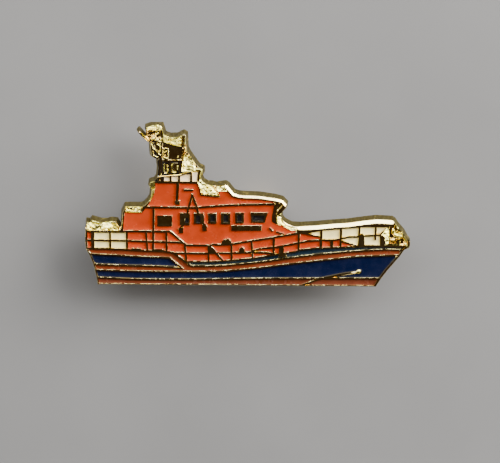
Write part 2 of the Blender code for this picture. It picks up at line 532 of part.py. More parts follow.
def turned(name, profile, collection, look, at, closed):
    """A turned piece from (radius, depth) points that run down its outer side."""
    mesh = bpy.data.meshes.new(name)
    verts = [(radius, 0.0, -depth) for radius, depth in profile]
    edges = [(i, i + 1) for i in range(len(verts) - 1)]
    if closed:
        edges.append((len(verts) - 1, 0))
    mesh.from_pydata(verts, edges, [])
    obj = add_object(name, mesh, collection, look, at)
    turn = obj.modifiers.new("turn", "SCREW")
    turn.axis = "Z"
    turn.steps = TURN_STEPS
    turn.render_steps = TURN_STEPS
    turn.use_merge_vertices = True
    turn.merge_threshold = 1e-7
    turn.use_normal_calculate = True
    return obj


def pin_place(u):
    return (u - MIDDLE_U) * MM, (PIN_V - MIDDLE_V) * MM, BACK * MM


def make_pin(name, collection, at):
    """A pointed pin on a soldered pad, with the groove that the clutch grips."""
    profile = (
        (0.0, SEAT),
        (PIN_PAD_RADIUS, SEAT),
        (PIN_PAD_RADIUS, SEAT + PIN_PAD_DEEP),
        (PIN_RADIUS, SEAT + 1.6 * PIN_PAD_DEEP),
        (PIN_RADIUS, PIN_LENGTH - 1.6),
        (PIN_GROOVE_RADIUS, PIN_LENGTH - 1.45),
        (PIN_GROOVE_RADIUS, PIN_LENGTH - 1.25),
        (PIN_RADIUS, PIN_LENGTH - 1.1),
        (0.6 * PIN_RADIUS, PIN_LENGTH - 0.4),
        (0.0, PIN_LENGTH),
    )
    return turned(name, profile, collection, gold(), at, closed=False)


def slot_cutter(name, collection, at, side):
    """The window in the housing that one wing comes out of."""
    bm = bmesh.new()
    bmesh.ops.create_cube(bm, size=1.0)
    reach = 2 * HOUSING_RADIUS - SLOT_INNER
    bmesh.ops.scale(bm, vec=(2 * SLOT_HALF_WIDTH, reach, 2 * SLOT_HALF_HEIGHT), verts=bm.verts)
    offset = (0.0, side * (SLOT_INNER + reach / 2), -WING_AXIS_DOWN)
    bmesh.ops.translate(bm, vec=offset, verts=bm.verts)
    mesh = bpy.data.meshes.new(name)
    bm.to_mesh(mesh)
    bm.free()
    obj = add_object(name, mesh, collection, gold(), at)
    obj.hide_render = True
    obj.display_type = "WIRE"
    return obj


def make_clutch(name, collection, cutters, at):
    """A flanged cup with a hole for the pin and a slot on each side for a wing."""
    flange_end = FLANGE_TOP + FLANGE_THICK
    profile = (
        (CLUTCH_HOLE, FLANGE_TOP),
        (FLANGE_RADIUS - 0.2, FLANGE_TOP),
        (FLANGE_RADIUS, FLANGE_TOP + 0.15),
        (FLANGE_RADIUS, flange_end + FLANGE_LIP),
        (FLANGE_RADIUS - FLANGE_THICK, flange_end + FLANGE_LIP),
        (FLANGE_RADIUS - FLANGE_THICK, flange_end),
        (HOUSING_RADIUS, flange_end),
        (HOUSING_RADIUS, HOUSING_END - HOUSING_CHAMFER),
        (HOUSING_RADIUS - HOUSING_CHAMFER, HOUSING_END),
        (CLUTCH_HOLE, HOUSING_END),
    )
    clutch = turned(name, profile, collection, gold(), at, closed=True)
    for side in (1, -1):
        cutter = slot_cutter(f"{name}_slot_{side}", cutters, at, side)
        cut = clutch.modifiers.new("slot", "BOOLEAN")
        cut.operation = "DIFFERENCE"
        cut.solver = "EXACT"
        cut.object = cutter
    return clutch


def make_wing(name, collection, clutch, side):
    """A sheet-metal ear on one side of the clutch, with its origin on its hinge."""
    mesh = bpy.data.meshes.new(name)
    verts = [(side * x * half, side * out, -down) for out, down, half in WING_ROWS for x in (-1, 1)]
    rows = range(len(WING_ROWS) - 1)
    mesh.from_pydata(verts, [], [(2 * i, 2 * i + 1, 2 * i + 3, 2 * i + 2) for i in rows])
    hinge = (0.0, side * WING_AXIS_OUT * MM, -WING_AXIS_DOWN * MM)
    wing = add_object(name, mesh, collection, gold(), hinge)
    wing.parent = clutch
    sheet = wing.modifiers.new("sheet", "SOLIDIFY")
    sheet.thickness = WING_THICK * MM
    sheet.offset = 0.0
    sheet.use_even_offset = True
    return wing


def main():
    clear_scene()
    parts = new_collection("lifeboat_pin")
    cutters = new_collection("cutters")
    points, triangles, heights = arrange(face_shapes())
    make_struck_body(parts, points, triangles, heights)
    make_enamels(parts, points, triangles, heights)
    for place, u in PIN_U.items():
        at = pin_place(u)
        make_pin(f"pin_{place}", parts, at)
        clutch = make_clutch(f"clutch_{place}", parts, cutters, at)
        make_wing(f"wing_{place}_upper", parts, clutch, 1)
        make_wing(f"wing_{place}_lower", parts, clutch, -1)


main()
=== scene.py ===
"""The finish of a lapel pin in the shape of a lifeboat: struck gold, sunk enamel and butterfly clutches.

The badge is drawn in millimetres, with u from the stern to the bow, v from the keel to the masthead, and heights
above its flat back. The frame's struck body says where that drawing lies. Pieces are in metres.
"""

import json
from collections import defaultdict
from math import cos, exp, hypot, pi, radians, sin, sqrt

import bmesh
import bpy
import numpy as np
from mathutils import Matrix, Vector, noise
from mathutils.bvhtree import BVHTree
from mathutils.geometry import delaunay_2d_cdt

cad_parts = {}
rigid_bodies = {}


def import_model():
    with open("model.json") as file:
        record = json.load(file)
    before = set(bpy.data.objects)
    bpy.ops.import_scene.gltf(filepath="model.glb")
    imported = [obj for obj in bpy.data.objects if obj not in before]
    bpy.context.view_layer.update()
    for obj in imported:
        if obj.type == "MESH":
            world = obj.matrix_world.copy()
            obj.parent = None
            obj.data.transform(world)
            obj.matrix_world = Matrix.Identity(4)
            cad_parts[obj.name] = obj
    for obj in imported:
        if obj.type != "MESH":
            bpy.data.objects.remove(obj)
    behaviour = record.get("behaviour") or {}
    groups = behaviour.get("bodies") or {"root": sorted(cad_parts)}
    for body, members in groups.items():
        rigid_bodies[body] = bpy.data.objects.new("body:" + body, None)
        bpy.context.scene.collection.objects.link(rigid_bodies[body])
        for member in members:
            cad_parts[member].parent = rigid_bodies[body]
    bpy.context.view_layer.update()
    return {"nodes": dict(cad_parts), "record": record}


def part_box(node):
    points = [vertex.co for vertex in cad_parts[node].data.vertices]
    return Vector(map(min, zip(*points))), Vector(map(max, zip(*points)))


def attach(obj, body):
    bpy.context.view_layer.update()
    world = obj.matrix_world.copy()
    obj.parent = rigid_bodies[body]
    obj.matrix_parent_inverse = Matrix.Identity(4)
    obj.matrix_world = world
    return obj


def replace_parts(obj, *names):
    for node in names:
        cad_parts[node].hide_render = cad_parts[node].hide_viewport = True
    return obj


MM = 0.001

# The drawing's least u and v, which are the low corner of the struck body
LEAST_U, LEAST_V = -1.7, -0.05

# Levels of the struck body, in millimetres above its back, and the numbers of the lowest of them
LEVELS = (0.75, 0.9, 1.05, 1.25, 1.45)
POCKET, WALL = LEVELS[0], LEVELS[-1]
POCKET_LEVEL, SUNK_LEVEL, GROUND_LEVEL = range(3)
OUTSIDE = -1

# Reading the frame's face: an upward face's least normal, gaps across which corners join, and a step off an edge
UPWARD = 0.5
JOIN_M, JOIN_MM = 1e-7, 0.0005
OFF_EDGE = 0.01
# Distances are taken for this many points at a time
BATCH = 1000

# How the struck edges are worn: outside a wall's top a bevel (width, drop) and then a steep flank run down. A wall
# faces up or down the drawing when the v of its normal is at least STEEP
STEEP = 0.5
TOP_SPREAD = 0.02
BEVELS = {"up": (0.043, 0.0125), "right": (0.036, 0.009), "left": (0.032, 0.006), "down": (0.03, 0.006)}
BEVEL_WEAR, BEVEL_WEAR_GRAIN = 1.5, 0.55
FLANK_SLOPE = 10.0
RIM_WIDE, RIM_DROP = 0.09, 0.08
# Slopes along the upper rim, where it faces up by at least this much: (from u, to u, width, drop)
CHAMFER_FACING = 0.25
CHAMFERS = ((15.8, 24.6, 0.27, 0.15), (24.6, 36.5, 0.46, 0.22))
# Where the bevels are all but worn away: (share that is left, corners). These are the rod on the bow, the frames
# behind the stem, and the mast
FLAT_WEAR = 0.12
FLAT_TOPS = (
    (FLAT_WEAR, ((28.2, 0.95), (31.95, 1.55), (31.95, 2.2), (28.0, 1.4))),
    (FLAT_WEAR, ((36.0, 5.55), (36.0, 8.1), (36.7, 8.1), (36.9, 7.1), (36.6, 6.6), (37.3, 6.35), (37.4, 5.55))),
    (FLAT_WEAR, ((7.2, 13.7), (8.0, 13.95), (10.35, 14.05), (10.35, 17.9), (8.0, 18.45), (7.2, 16.6))),
)
# Black painted shade in the corners of the mast's sunk metal: (reach from a wall, corners)
PAINTED_CORNER_SHADE = (0.12, ((7.0, 13.4), (10.5, 13.4), (10.5, 17.95), (8.2, 18.5), (6.6, 18.5), (6.6, 16.3)))
# The cut side slopes out towards the back: by how much, from which v, and over what rise in v it grows to that
SIDE_FLARE, SIDE_FLARE_START, SIDE_FLARE_RISE = 0.26, 5.2, 1.6
# A flare that comes too near the rest of the edge is tried again at this share, down to the least
FLARE_CLEAR, FLARE_RETRY, FLARE_LEAST = 0.6, 0.6, 0.05

# Points for the triangles: rings beside the steps, and a shaken grid over the bare metal
HIGH_RINGS = (0.05, 0.1)
LOW_RINGS = (0.02, 0.035, 0.055, 0.085, 0.11, 0.3)
CHAMFER_SHARES = (0.4, 0.7, 1.0)
RING_SPACING = 0.3
RING_CLEAR = 0.9
FIELD_SPACING = 0.09
BARE_FIELD = (LEAST_U, 39.0, 5.0, 20.7)
ROW_PITCH = 0.87
SHAKE, SHAKE_GRAIN, SHAKE_SEED = 0.3, 7.3, 7
GRID_CLEAR = 0.03
RING_MERGE, RELIEF_MERGE, ENAMEL_MERGE = 0.012, 0.03, 0.015
TRIANGLE_GAP = 1e-5

# Relief of the bare metal. Cast areas: (height at a ledge's foot, ledge's pitch, slope, corners)
CAST_AREAS = (
    (1.42, 0.30, 0.30, ((6.0, 20.1), (8.0, 20.1), (7.9, 20.7), (6.0, 20.6))),
    (1.33, 1.00, 0.16, ((8.2, 18.4), (10.25, 17.85), (10.3, 19.5), (9.0, 18.95), (8.2, 19.4))),
    (1.42, 0.80, 0.36, ((10.3, 14.6), (12.0, 14.75), (12.0, 15.5), (11.2, 15.9), (11.0, 16.7), (10.7, 16.8),
                        (10.45, 16.0))),
    (1.35, 0.70, 0.18, ((11.2, 15.95), (12.0, 15.6), (12.25, 16.05), (11.7, 16.6), (11.2, 16.5))),
    (1.42, 0.90, 0.36, ((12.3, 13.3), (12.75, 12.0), (13.2, 11.75), (13.6, 12.9), (13.5, 13.3), (12.8, 13.9),
                        (12.6, 13.7))),
    (1.42, 0.45, 0.36, ((13.3, 11.85), (14.8, 11.6), (14.5, 12.3), (13.9, 12.95), (13.6, 12.9))),
    (1.42, 0.60, 0.36, ((14.65, 12.2), (15.1, 12.15), (15.2, 12.35), (15.65, 12.4), (15.7, 12.9), (14.6, 12.8))),
    (1.43, 0.80, 0.36, ((22.75, 9.5), (22.3, 9.3), (22.05, 8.7), (22.15, 8.2), (22.6, 7.65), (23.3, 7.2), (24.4, 7.0),
                        (24.7, 7.5), (23.9, 7.75), (23.2, 8.0), (22.75, 8.5), (22.8, 9.0), (23.0, 9.4))),
    (1.43, 1.30, 0.34, ((-1.4, 7.05), (2.5, 7.0), (2.2, 7.8), (1.6, 8.2), (0.5, 8.0), (-0.3, 8.2), (-0.9, 8.4),
                        (-1.45, 7.9))),
    (1.42, 0.70, 0.17, ((3.4, 9.5), (5.3, 9.5), (5.3, 10.2), (3.4, 10.2))),
    (1.38, 2.00, 0.06, ((6.3, 13.4), (7.0, 13.3), (7.0, 12.7), (6.85, 11.6), (6.4, 10.9), (6.2, 11.0),
                        (6.55, 12.2), (6.3, 12.6))),
    (1.43, 0.60, 0.36, ((35.15, 6.8), (35.5, 6.5), (36.1, 6.4), (36.0, 7.6), (35.8, 7.75))),
    (1.43, 0.50, 0.34, ((35.55, 6.5), (35.65, 5.6), (36.0, 5.55), (36.1, 6.45))),
    (1.36, 1.40, 0.34, ((36.55, 7.5), (36.42, 7.0), (36.65, 6.6), (37.2, 6.32), (37.6, 6.3), (37.65, 6.85),
                        (36.9, 6.9), (36.75, 7.3))),
)
# Bare areas with no walls of their own: (height, corners)
FLAT_AREAS = (
    (1.31, ((5.9, 20.1), (8.15, 20.1), (8.15, 18.45), (10.3, 17.8), (10.3, 14.3), (7.3, 14.0), (7.2, 16.2),
            (6.3, 16.3), (6.3, 18.6), (5.9, 18.8))),
    (1.36, ((32.05, 1.65), (32.8, 1.65), (32.8, 2.2), (32.05, 2.2))),
    (1.04, ((36.15, 6.35), (36.15, 7.9), (36.3, 8.05), (36.75, 8.0), (37.2, 7.25), (37.7, 7.0), (37.75, 6.3),
            (37.0, 6.2))),
    (1.30, ((36.15, 5.68), (36.15, 6.0), (36.9, 6.0), (36.9, 5.68))),
)
# Where the cut side starts inside the outline: (height, slope, its line on the face, corners)
CUT_AREAS = (
    (1.38, 0.9, ((36.85, 8.1), (37.3, 7.4), (37.75, 6.95), (37.8, 6.45), (38.1, 6.1), (38.15, 5.85)),
     ((36.5, 8.75), (36.95, 8.1), (37.38, 7.4), (37.83, 7.0), (37.9, 6.5), (38.18, 6.15), (38.22, 5.9), (38.8, 6.0),
      (38.8, 6.4), (37.6, 7.8), (36.9, 8.9))),
)
# Order of the plate's materials; the fourth is a black painted shade
FACE_LOOK, SIDE_LOOK, CAST_LOOK, PAINTED_SHADE_LOOK, BACK_LOOK = range(5)
# Insides of the window frames, lowered and painted black as painted shade: (height, corners)
PAINTED_FRAME_SHADE = (
    (1.36, ((10.75, 8.1), (11.15, 8.1), (11.15, 8.75), (10.75, 8.7))),
    (1.36, ((12.1, 8.1), (12.62, 8.1), (12.62, 9.08), (12.1, 9.08))),
    (1.36, ((13.88, 8.3), (14.42, 8.3), (14.42, 9.12), (13.88, 9.12))),
    (1.36, ((15.52, 8.22), (16.06, 8.22), (16.06, 9.16), (15.52, 9.16))),
    (1.36, ((17.18, 8.3), (17.72, 8.3), (17.72, 9.16), (17.18, 9.16))),
    (1.36, ((19.1, 8.42), (20.38, 8.42), (20.62, 9.12), (19.02, 9.12))),
)
# Round ridges: (height, width, points)
RIDGES = (
    (1.45, 0.17, ((5.4, 19.5), (6.25, 18.65))),
    (1.45, 0.16, ((6.05, 20.0), (6.95, 19.95), (7.2, 19.8), (7.5, 19.9), (7.85, 20.0), (8.1, 19.6), (8.08, 18.45))),
    (1.45, 0.12, ((7.6, 20.1), (7.6, 20.5))),
    (1.38, 0.16, ((7.15, 19.3), (7.45, 19.45))),
    (1.45, 0.29, ((6.72, 18.8), (6.85, 18.85))),
    (1.45, 0.20, ((7.15, 18.65), (7.4, 18.72))),
    (1.45, 0.09, ((7.5, 18.75), (7.5, 18.5), (7.65, 18.4), (7.8, 18.5), (7.8, 18.75), (7.7, 18.85))),
    (1.42, 0.13, ((6.62, 18.3), (6.7, 17.9), (6.85, 17.6), (7.1, 17.4), (7.4, 17.0), (7.7, 16.75))),
    (1.42, 0.17, ((7.3, 18.1), (7.65, 17.95), (7.72, 17.35), (7.5, 17.05))),
    (1.38, 0.10, ((6.85, 17.1), (6.85, 16.7), (7.35, 16.48))),
    (1.45, 0.12, ((8.2, 19.1), (8.6, 18.95), (9.2, 18.85), (9.9, 19.1))),
    (1.45, 0.10, ((8.2, 18.75), (9.6, 18.65), (10.0, 18.5), (10.2, 17.9))),
    (1.45, 0.17, ((8.2, 18.4), (9.2, 18.1), (10.2, 17.88))),
    (1.42, 0.12, ((8.9, 18.55), (9.3, 18.15))),
    (1.45, 0.14, ((10.5, 19.25), (10.75, 19.05), (10.75, 18.3), (10.65, 17.8), (11.1, 17.45))),
    (1.36, 0.09, ((8.1, 17.5), (8.1, 16.4), (8.6, 16.3))),
    (1.32, 0.06, ((8.1, 17.5), (8.35, 17.62), (8.65, 17.5), (8.65, 16.5))),
    (1.38, 0.14, ((8.15, 16.45), (8.55, 16.35))),
    (1.34, 0.14, ((8.4, 17.2), (8.42, 17.25))),
    (1.38, 0.13, ((9.8, 16.4), (9.9, 16.55))),
    (1.30, 0.09, ((8.15, 15.6), (8.12, 14.4), (8.7, 14.35))),
    (1.30, 0.12, ((8.6, 14.6), (8.72, 14.9))),
    (1.22, 0.09, ((8.5, 15.5), (8.55, 14.7))),
    (1.32, 0.09, ((9.35, 15.65), (9.1, 15.6), (9.1, 14.5), (9.6, 14.5))),
    (1.34, 0.20, ((9.8, 15.35), (9.78, 14.9))),
    (1.36, 0.16, ((7.72, 14.2), (7.75, 14.3))),
    (1.40, 0.24, ((10.8, 17.2), (10.85, 17.3))),
    (1.42, 0.24, ((11.1, 16.62), (11.35, 16.7), (11.6, 16.85))),
    (1.44, 0.14, ((11.7, 16.6), (12.0, 16.4), (12.3, 16.08))),
    (1.36, 0.20, ((12.45, 15.3), (12.55, 15.32))),
    (1.45, 0.32, ((12.15, 14.95), (12.72, 14.93), (12.82, 14.6), (12.7, 14.2), (12.68, 13.8))),
    (1.45, 0.50, ((13.05, 14.1), (13.3, 14.4))),
    (1.45, 0.22, ((13.75, 11.72), (14.1, 11.66), (14.75, 11.6))),
    (1.40, 0.24, ((14.08, 12.82), (14.12, 12.86))),
    (1.45, 0.20, ((6.82, 12.3), (6.7, 11.8), (6.35, 10.95))),
    (1.45, 0.22, ((3.42, 9.85), (3.65, 9.6), (4.2, 9.5), (5.15, 9.5))),
    (1.45, 0.26, ((-1.35, 7.9), (-1.3, 7.95))),
    (1.45, 0.18, ((-0.85, 8.25), (-0.3, 8.1), (0.3, 7.98))),
    (1.45, 0.20, ((35.7, 5.5), (37.4, 5.5))),
    (1.38, 0.20, ((37.42, 5.5), (37.38, 6.3))),
    (1.34, 0.15, ((36.1, 6.05), (36.95, 6.05))),
    (1.40, 0.36, ((36.6, 7.3), (36.55, 7.0), (36.75, 6.75), (37.1, 6.6), (37.5, 6.6))),
    (1.45, 0.20, ((36.85, 8.1), (37.15, 7.6), (37.38, 7.2), (37.75, 6.95), (37.75, 6.5), (38.05, 6.2),
                  (38.15, 5.85))),
    (1.45, 0.22, ((38.05, 5.65), (38.5, 5.2))),
    (1.45, 0.50, ((32.3, 1.88), (32.45, 1.92))),
)
# Round grooves: (depth, width, points)
GROOVES = (
    (0.12, 0.30, ((7.15, 20.25), (7.25, 20.3))),
    (0.12, 0.16, ((8.35, 18.62), (8.8, 18.55))),
    (0.10, 0.20, ((9.5, 18.35), (9.75, 18.25))),
    (0.15, 0.22, ((10.4, 19.2), (10.4, 17.7))),
    (0.14, 0.12, ((8.35, 15.5), (8.32, 14.65))),
    (0.10, 0.16, ((8.28, 17.0), (8.28, 16.75))),
    (0.12, 0.20, ((11.0, 15.35), (11.0, 15.45))),
    (0.10, 0.24, ((10.6, 15.1), (10.6, 15.35))),
    (0.16, 0.22, ((12.05, 14.72), (12.25, 14.72))),
    (0.12, 0.16, ((12.7, 12.3), (12.9, 12.15))),
    (0.14, 0.30, ((14.3, 12.9), (14.45, 12.35))),
    (0.12, 0.26, ((14.2, 11.95), (14.4, 11.9))),
    (0.12, 0.16, ((-0.55, 7.92), (-0.2, 7.85), (0.1, 7.8))),
    (0.12, 0.20, ((-0.95, 7.25), (-0.95, 7.35))),
    (0.12, 0.20, ((0.15, 7.28), (0.25, 7.28))),
    (0.12, 0.20, ((0.75, 7.25), (0.85, 7.25))),
    (0.10, 0.18, ((1.1, 7.22), (1.2, 7.25))),
    (0.14, 0.16, ((1.6, 7.35), (1.7, 7.65))),
    (0.28, 0.24, ((1.7, 7.86), (2.2, 7.86))),
    (0.20, 0.36, ((1.9, 7.35), (2.2, 7.25))),
    (0.16, 0.16, ((-0.55, 7.86), (-0.1, 7.76))),
    (0.08, 0.14, ((3.85, 9.7), (3.85, 10.05))),
    (0.08, 0.14, ((4.3, 9.7), (4.3, 10.05))),
    (0.12, 0.24, ((4.7, 9.65), (4.7, 10.05))),
    (0.16, 0.24, ((36.8, 7.8), (37.03, 7.15))),
    (0.10, 0.20, ((37.3, 7.05), (37.45, 7.0))),
    (0.10, 0.16, ((35.95, 6.5), (36.05, 6.45))),
)
RIDGE_DROP = 0.16
CAST_ROUGH, CAST_GRAIN = 0.055, 0.34
CAST_WANDER, CAST_WANDER_GRAIN = 0.5, 1.1
WEAR_SEED, ROUGH_SEED, WANDER_SEED = 5.0, 3.0, 8.0
RELIEF_SPACING = 0.07
RELIEF_EDGE = 0.015
RELIEF_SHARES = (-1.1, -0.95, -0.5, 0.0, 0.5, 0.95, 1.1)

# Enamel: its height in the middle, and how it climbs the walls from where their flanks end
ENAMEL_MIDDLE, PANE_MIDDLE = 1.16, 1.2
ENAMEL_RISE, ENAMEL_START, ENAMEL_REACH = 0.055, 0.07, 0.12
ENAMEL_SEAT = 0.02
ENAMEL_RINGS = (0.06, 0.12, 0.2, 0.35)
ENAMEL_FIELD, ENAMEL_FIELD_CLEAR = 0.55, 1.2

# Angles in degrees past which an edge stays sharp
PLATE_SHARP, ENAMEL_SHARP, FITTING_SHARP = 28, 60, 40

# Fittings, as (distance from the pin's middle, depth below the back)
TURN_STEPS = 72
PIN_PROFILE = (
    (0.0, 0.005), (0.96, 0.005), (1.0, 0.03), (1.0, 0.09), (0.92, 0.12), (0.68, 0.15), (0.55, 0.22), (0.5, 0.36),
    (0.5, 4.86), (0.47, 4.93), (0.38, 5.05), (0.38, 5.25), (0.47, 5.37), (0.5, 5.44), (0.47, 5.6), (0.32, 6.05),
    (0.14, 6.38), (0.05, 6.48), (0.0, 6.5),
)
CLUTCH_PROFILE = (
    (0.75, 0.37), (0.82, 0.30), (2.25, 0.30), (2.35, 0.34), (2.65, 0.34), (2.75, 0.30), (3.95, 0.30), (4.08, 0.32),
    (4.17, 0.39), (4.2, 0.50), (4.2, 0.80), (4.17, 0.90), (4.08, 0.95), (3.95, 0.95), (3.87, 0.91), (3.85, 0.82),
    (3.85, 0.72), (3.81, 0.67), (3.72, 0.65), (2.75, 0.65), (2.58, 0.69), (2.5, 0.80), (2.5, 2.25), (2.46, 2.40),
    (2.36, 2.52), (2.2, 2.59), (2.05, 2.6), (1.6, 2.6), (1.5, 2.54), (1.2, 2.54), (1.1, 2.6), (0.82, 2.6),
    (0.75, 2.53),
)
SLOT_HALF_WIDTH, SLOT_HALF_HEIGHT, SLOT_INNER, SLOT_OUTER = 1.6, 0.45, 1.05, 3.0
WING_AXIS_OUT, WING_AXIS_DOWN = 1.7, 1.6
WING_THICK = 0.4
# A wing's sheet from its hinge, as (out, down, half width)
WING_ROWS = (
    (-0.40, 0.0, 1.3), (0.35, 0.0, 1.3), (0.85, 0.03, 1.3), (1.22, 0.38, 1.6), (1.45, 1.0, 1.95), (1.65, 1.8, 2.2),
    (1.86, 2.7, 2.32), (2.05, 3.5, 2.3), (2.21, 4.1, 2.12), (2.36, 4.6, 1.9), (2.58, 4.93, 1.62), (2.9, 5.0, 1.25),
)
WING_ACROSS, WING_ALONG = 14, 4
WING_TIP_ROUND = 0.5
WING_DISH, WING_DISH_DOWN, WING_DISH_REACH, WING_DISH_SQUASH = 0.16, 2.6, 1.1, 0.8
WING_EDGE, WING_EDGE_STEPS, WING_EDGE_ANGLE = 0.09, 2, 50

# The photograph's view of the badge
PICTURE_WIDE = 500
SENSOR_MM = 36.0
VIEW_DISTANCE = 260.0
VIEW_LEAN = radians(17.0)
VIEW_ROLL = radians(-0.5)
PIXELS_PER_MM = 8.06
VIEW_U, VIEW_V = 18.79, 7.06
CLIP_START, CLIP_END = 0.01, 10.0

# The stage, in metres and watts. Lights: (name, azimuth, elevation, width, height, power, colour)
FLOOR_REACH = 0.6
LIGHT_DISTANCE = 0.5
LIGHTS = (
    ("key", 50.0, 38.0, 0.30, 0.30, 5.0, (1.0, 0.97, 0.92)),
    ("window", 0.0, 56.0, 0.50, 0.16, 2.0, (1.0, 1.0, 0.98)),
)
# The room's colours along an axis that points overhead and to the viewer: (share, colour)
ROOM_AXIS = (-0.12, -0.62, 1.0)
ROOM_STOPS = (
    (0.0, (1.0, 1.0, 0.98)),
    (0.45, (0.9, 0.9, 0.88)),
    (0.68, (0.36, 0.32, 0.26)),
    (0.82, (0.016, 0.009, 0.004)),
)
ROOM_STRENGTH = 2.0

# Colours
BLACK = (0.006, 0.005, 0.005)
# How enamel pales where it is thin, as (share, addition), and darkens where it is thick
ENAMEL_THIN, ENAMEL_THICK = (1.12, 0.004), 0.84
ENAMEL_COLOURS = {
    "orange_enamel": (0.345, 0.031, 0.004),
    "rust_enamel": (0.092, 0.020, 0.008),
    "stripe_enamel": (0.118, 0.020, 0.0045),
    "navy_enamel": (0.0001, 0.0029, 0.022),
    "teal_enamel": (0.002, 0.009, 0.018),
    "cream_enamel": (0.90, 0.76, 0.32),
    "pale_enamel": (0.92, 0.73, 0.45),
}
# The cut side's gold, darkened as painted shade, and its lighter painted glints
SIDE_DEEP, SIDE_LIGHT, SIDE_PAINTED_GLINT = (0.13, 0.10, 0.024), (0.27, 0.22, 0.075), (0.60, 0.47, 0.12)
FLOOR_DEEP, FLOOR_LIGHT = (0.165, 0.165, 0.168), (0.19, 0.19, 0.193)
# Plated metal: size of the tone's clouds, deep and light colour, the roughness's grain and range, and the fine
# relief's grain and (depth, strength). A grain is (size in millimetres, detail, stretch).
SAND, SCRATCHES = (0.22, 2.0), (0.12, 4.0, (0.15, 1.0, 1.0))
GOLDS = {
    # Polished plate on the struck face, cloudy in places and faintly pitted
    "gold_face": (2.6, (0.84, 0.62, 0.24), (0.97, 0.86, 0.44), (0.45,), (0.09, 0.20), (0.16, 4.0), (0.012, 0.6)),
    # The plate where the die left the metal rough: pale and frosted
    "gold_cast": (0.9, (0.92, 0.77, 0.10), (1.0, 0.95, 0.34), (0.4,), (0.16, 0.34), (0.12, 4.0), (0.02, 0.8)),
    # The back of the plate, struck with a fine sand grain
    "gold_back": (3.0, (0.62, 0.46, 0.17), (0.84, 0.66, 0.30), SAND, (0.30, 0.46), SAND, (0.05, 0.9)),
    # Thin plate over the pressed brass of the clutches, with draw marks and light scratches
    "gold_fitting": (1.6, (0.70, 0.50, 0.22), (0.88, 0.68, 0.36), SCRATCHES, (0.18, 0.36), SCRATCHES, (0.008, 0.5)),
}

# Pockets that the frame leaves open: (name, slot or None for black, a point in the pocket)
OPEN_POCKETS = (
    ("pane_1", None, (10.92, 8.4)),
    ("pane_2", None, (12.35, 8.5)),
    ("pane_3", None, (14.1, 8.7)),
    ("pane_4", None, (15.8, 8.7)),
    ("pane_5", None, (17.45, 8.7)),
    ("pane_6", None, (19.8, 8.8)),
    ("bow_wedge", "orange_enamel", (31.3, 5.35)),
    ("fairlead_gap", "orange_enamel", (22.15, 4.6)),
    ("brace_corner", "orange_enamel", (14.7, 3.6)),
    ("side_orange_13", "orange_enamel", (29.6, 5.5)),
    ("mast_legs_gap", "orange_enamel", (11.65, 10.8)),
    ("bridge_white_1", "pale_enamel", (7.62, 13.55)),
)

# Without a seed noise_vector, which shakes the grids, starts from the clock
noise.seed_set(SHAKE_SEED)

for left in list(bpy.data.objects):
    bpy.data.objects.remove(left)

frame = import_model()
PLATE_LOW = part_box("struck_body")[0]


def in_frame(u, v, height):
    """A point of the drawing in the frame, in metres."""
    return Vector((PLATE_LOW.x + (u - LEAST_U) * MM, PLATE_LOW.y + (v - LEAST_V) * MM, PLATE_LOW.z + height * MM))


def on_drawing(place):
    """The u and v of a point of the frame."""
    return (place.x - PLATE_LOW.x) / MM + LEAST_U, (place.y - PLATE_LOW.y) / MM + LEAST_V


def in_scene(name, data):
    obj = bpy.data.objects.new(name, data)
    bpy.context.scene.collection.objects.link(obj)
    return obj


def new_piece(name, mesh, looks, body="badge"):
    """A visible piece that rides on a body."""
    obj = in_scene(name, mesh)
    for look in looks:
        mesh.materials.append(look)
    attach(obj, body)
    return obj


def mesh_from(bm, name):
    mesh = bpy.data.meshes.new(name)
    bm.to_mesh(mesh)
    bm.free()
    return mesh


def smoothed(mesh, sharp):
    mesh.shade_smooth()
    mesh.set_sharp_from_angle(angle=radians(sharp))
    return mesh


# Materials


class Nodes:
    """Short calls for the nodes of one material."""

    def __init__(self, name):
        self.material = bpy.data.materials.new(name)
        self.material.use_nodes = True
        self.tree = self.material.node_tree
        self.shader = self.tree.nodes["Principled BSDF"]
        self.place = self.tree.nodes.new("ShaderNodeTexCoord").outputs["Object"]

    def put(self, value, socket):
        """Feeds an input from another node's output, or sets it to a constant."""
        if isinstance(value, bpy.types.NodeSocket):
            self.tree.links.new(value, socket)
        else:
            socket.default_value = value

    def add(self, kind, inputs=(), **settings):
        node = self.tree.nodes.new("ShaderNode" + kind)
        for key, value in settings.items():
            setattr(node, key, value)
        for key, value in dict(inputs).items():
            self.put(value, node.inputs[key])
        return node

    def noise(self, size_mm, detail=3.0, stretch=(1.0, 1.0, 1.0)):
        """Noise whose features are about this many millimetres across."""
        scaled = self.add("Mapping", {"Vector": self.place, "Scale": stretch})
        found = self.add("TexNoise", {"Vector": scaled.outputs[0], "Scale": 1 / (size_mm * MM), "Detail": detail})
        return found.outputs["Fac"]

    def between(self, factor, low, high, from_low=0.3, from_high=0.7):
        """Maps the factor's middle range onto low to high."""
        ends = {"Value": factor, "From Min": from_low, "From Max": from_high, "To Min": low, "To Max": high}
        return self.add("MapRange", ends).outputs[0]

    def blend(self, factor, low, high):
        """One colour turning into another."""
        low = low if isinstance(low, bpy.types.NodeSocket) else (*low, 1.0)
        ends = {"Factor": factor, "A": low, "B": (*high, 1.0)}
        mixer = self.add("Mix", data_type="RGBA")
        for key, value in ends.items():
            self.put(value, next(s for s in mixer.inputs if s.name == key and s.enabled))
        return next(s for s in mixer.outputs if s.enabled)

    def bump(self, height, depth_mm, strength=1.0, under=None):
        inputs = {"Height": height, "Distance": depth_mm * MM, "Strength": strength}
        if under is not None:
            inputs["Normal"] = under
        return self.add("Bump", inputs).outputs["Normal"]

    def set(self, **inputs):
        for key, value in inputs.items():
            self.put(value, self.shader.inputs[key.replace("_", " ").title()])
        return self.material


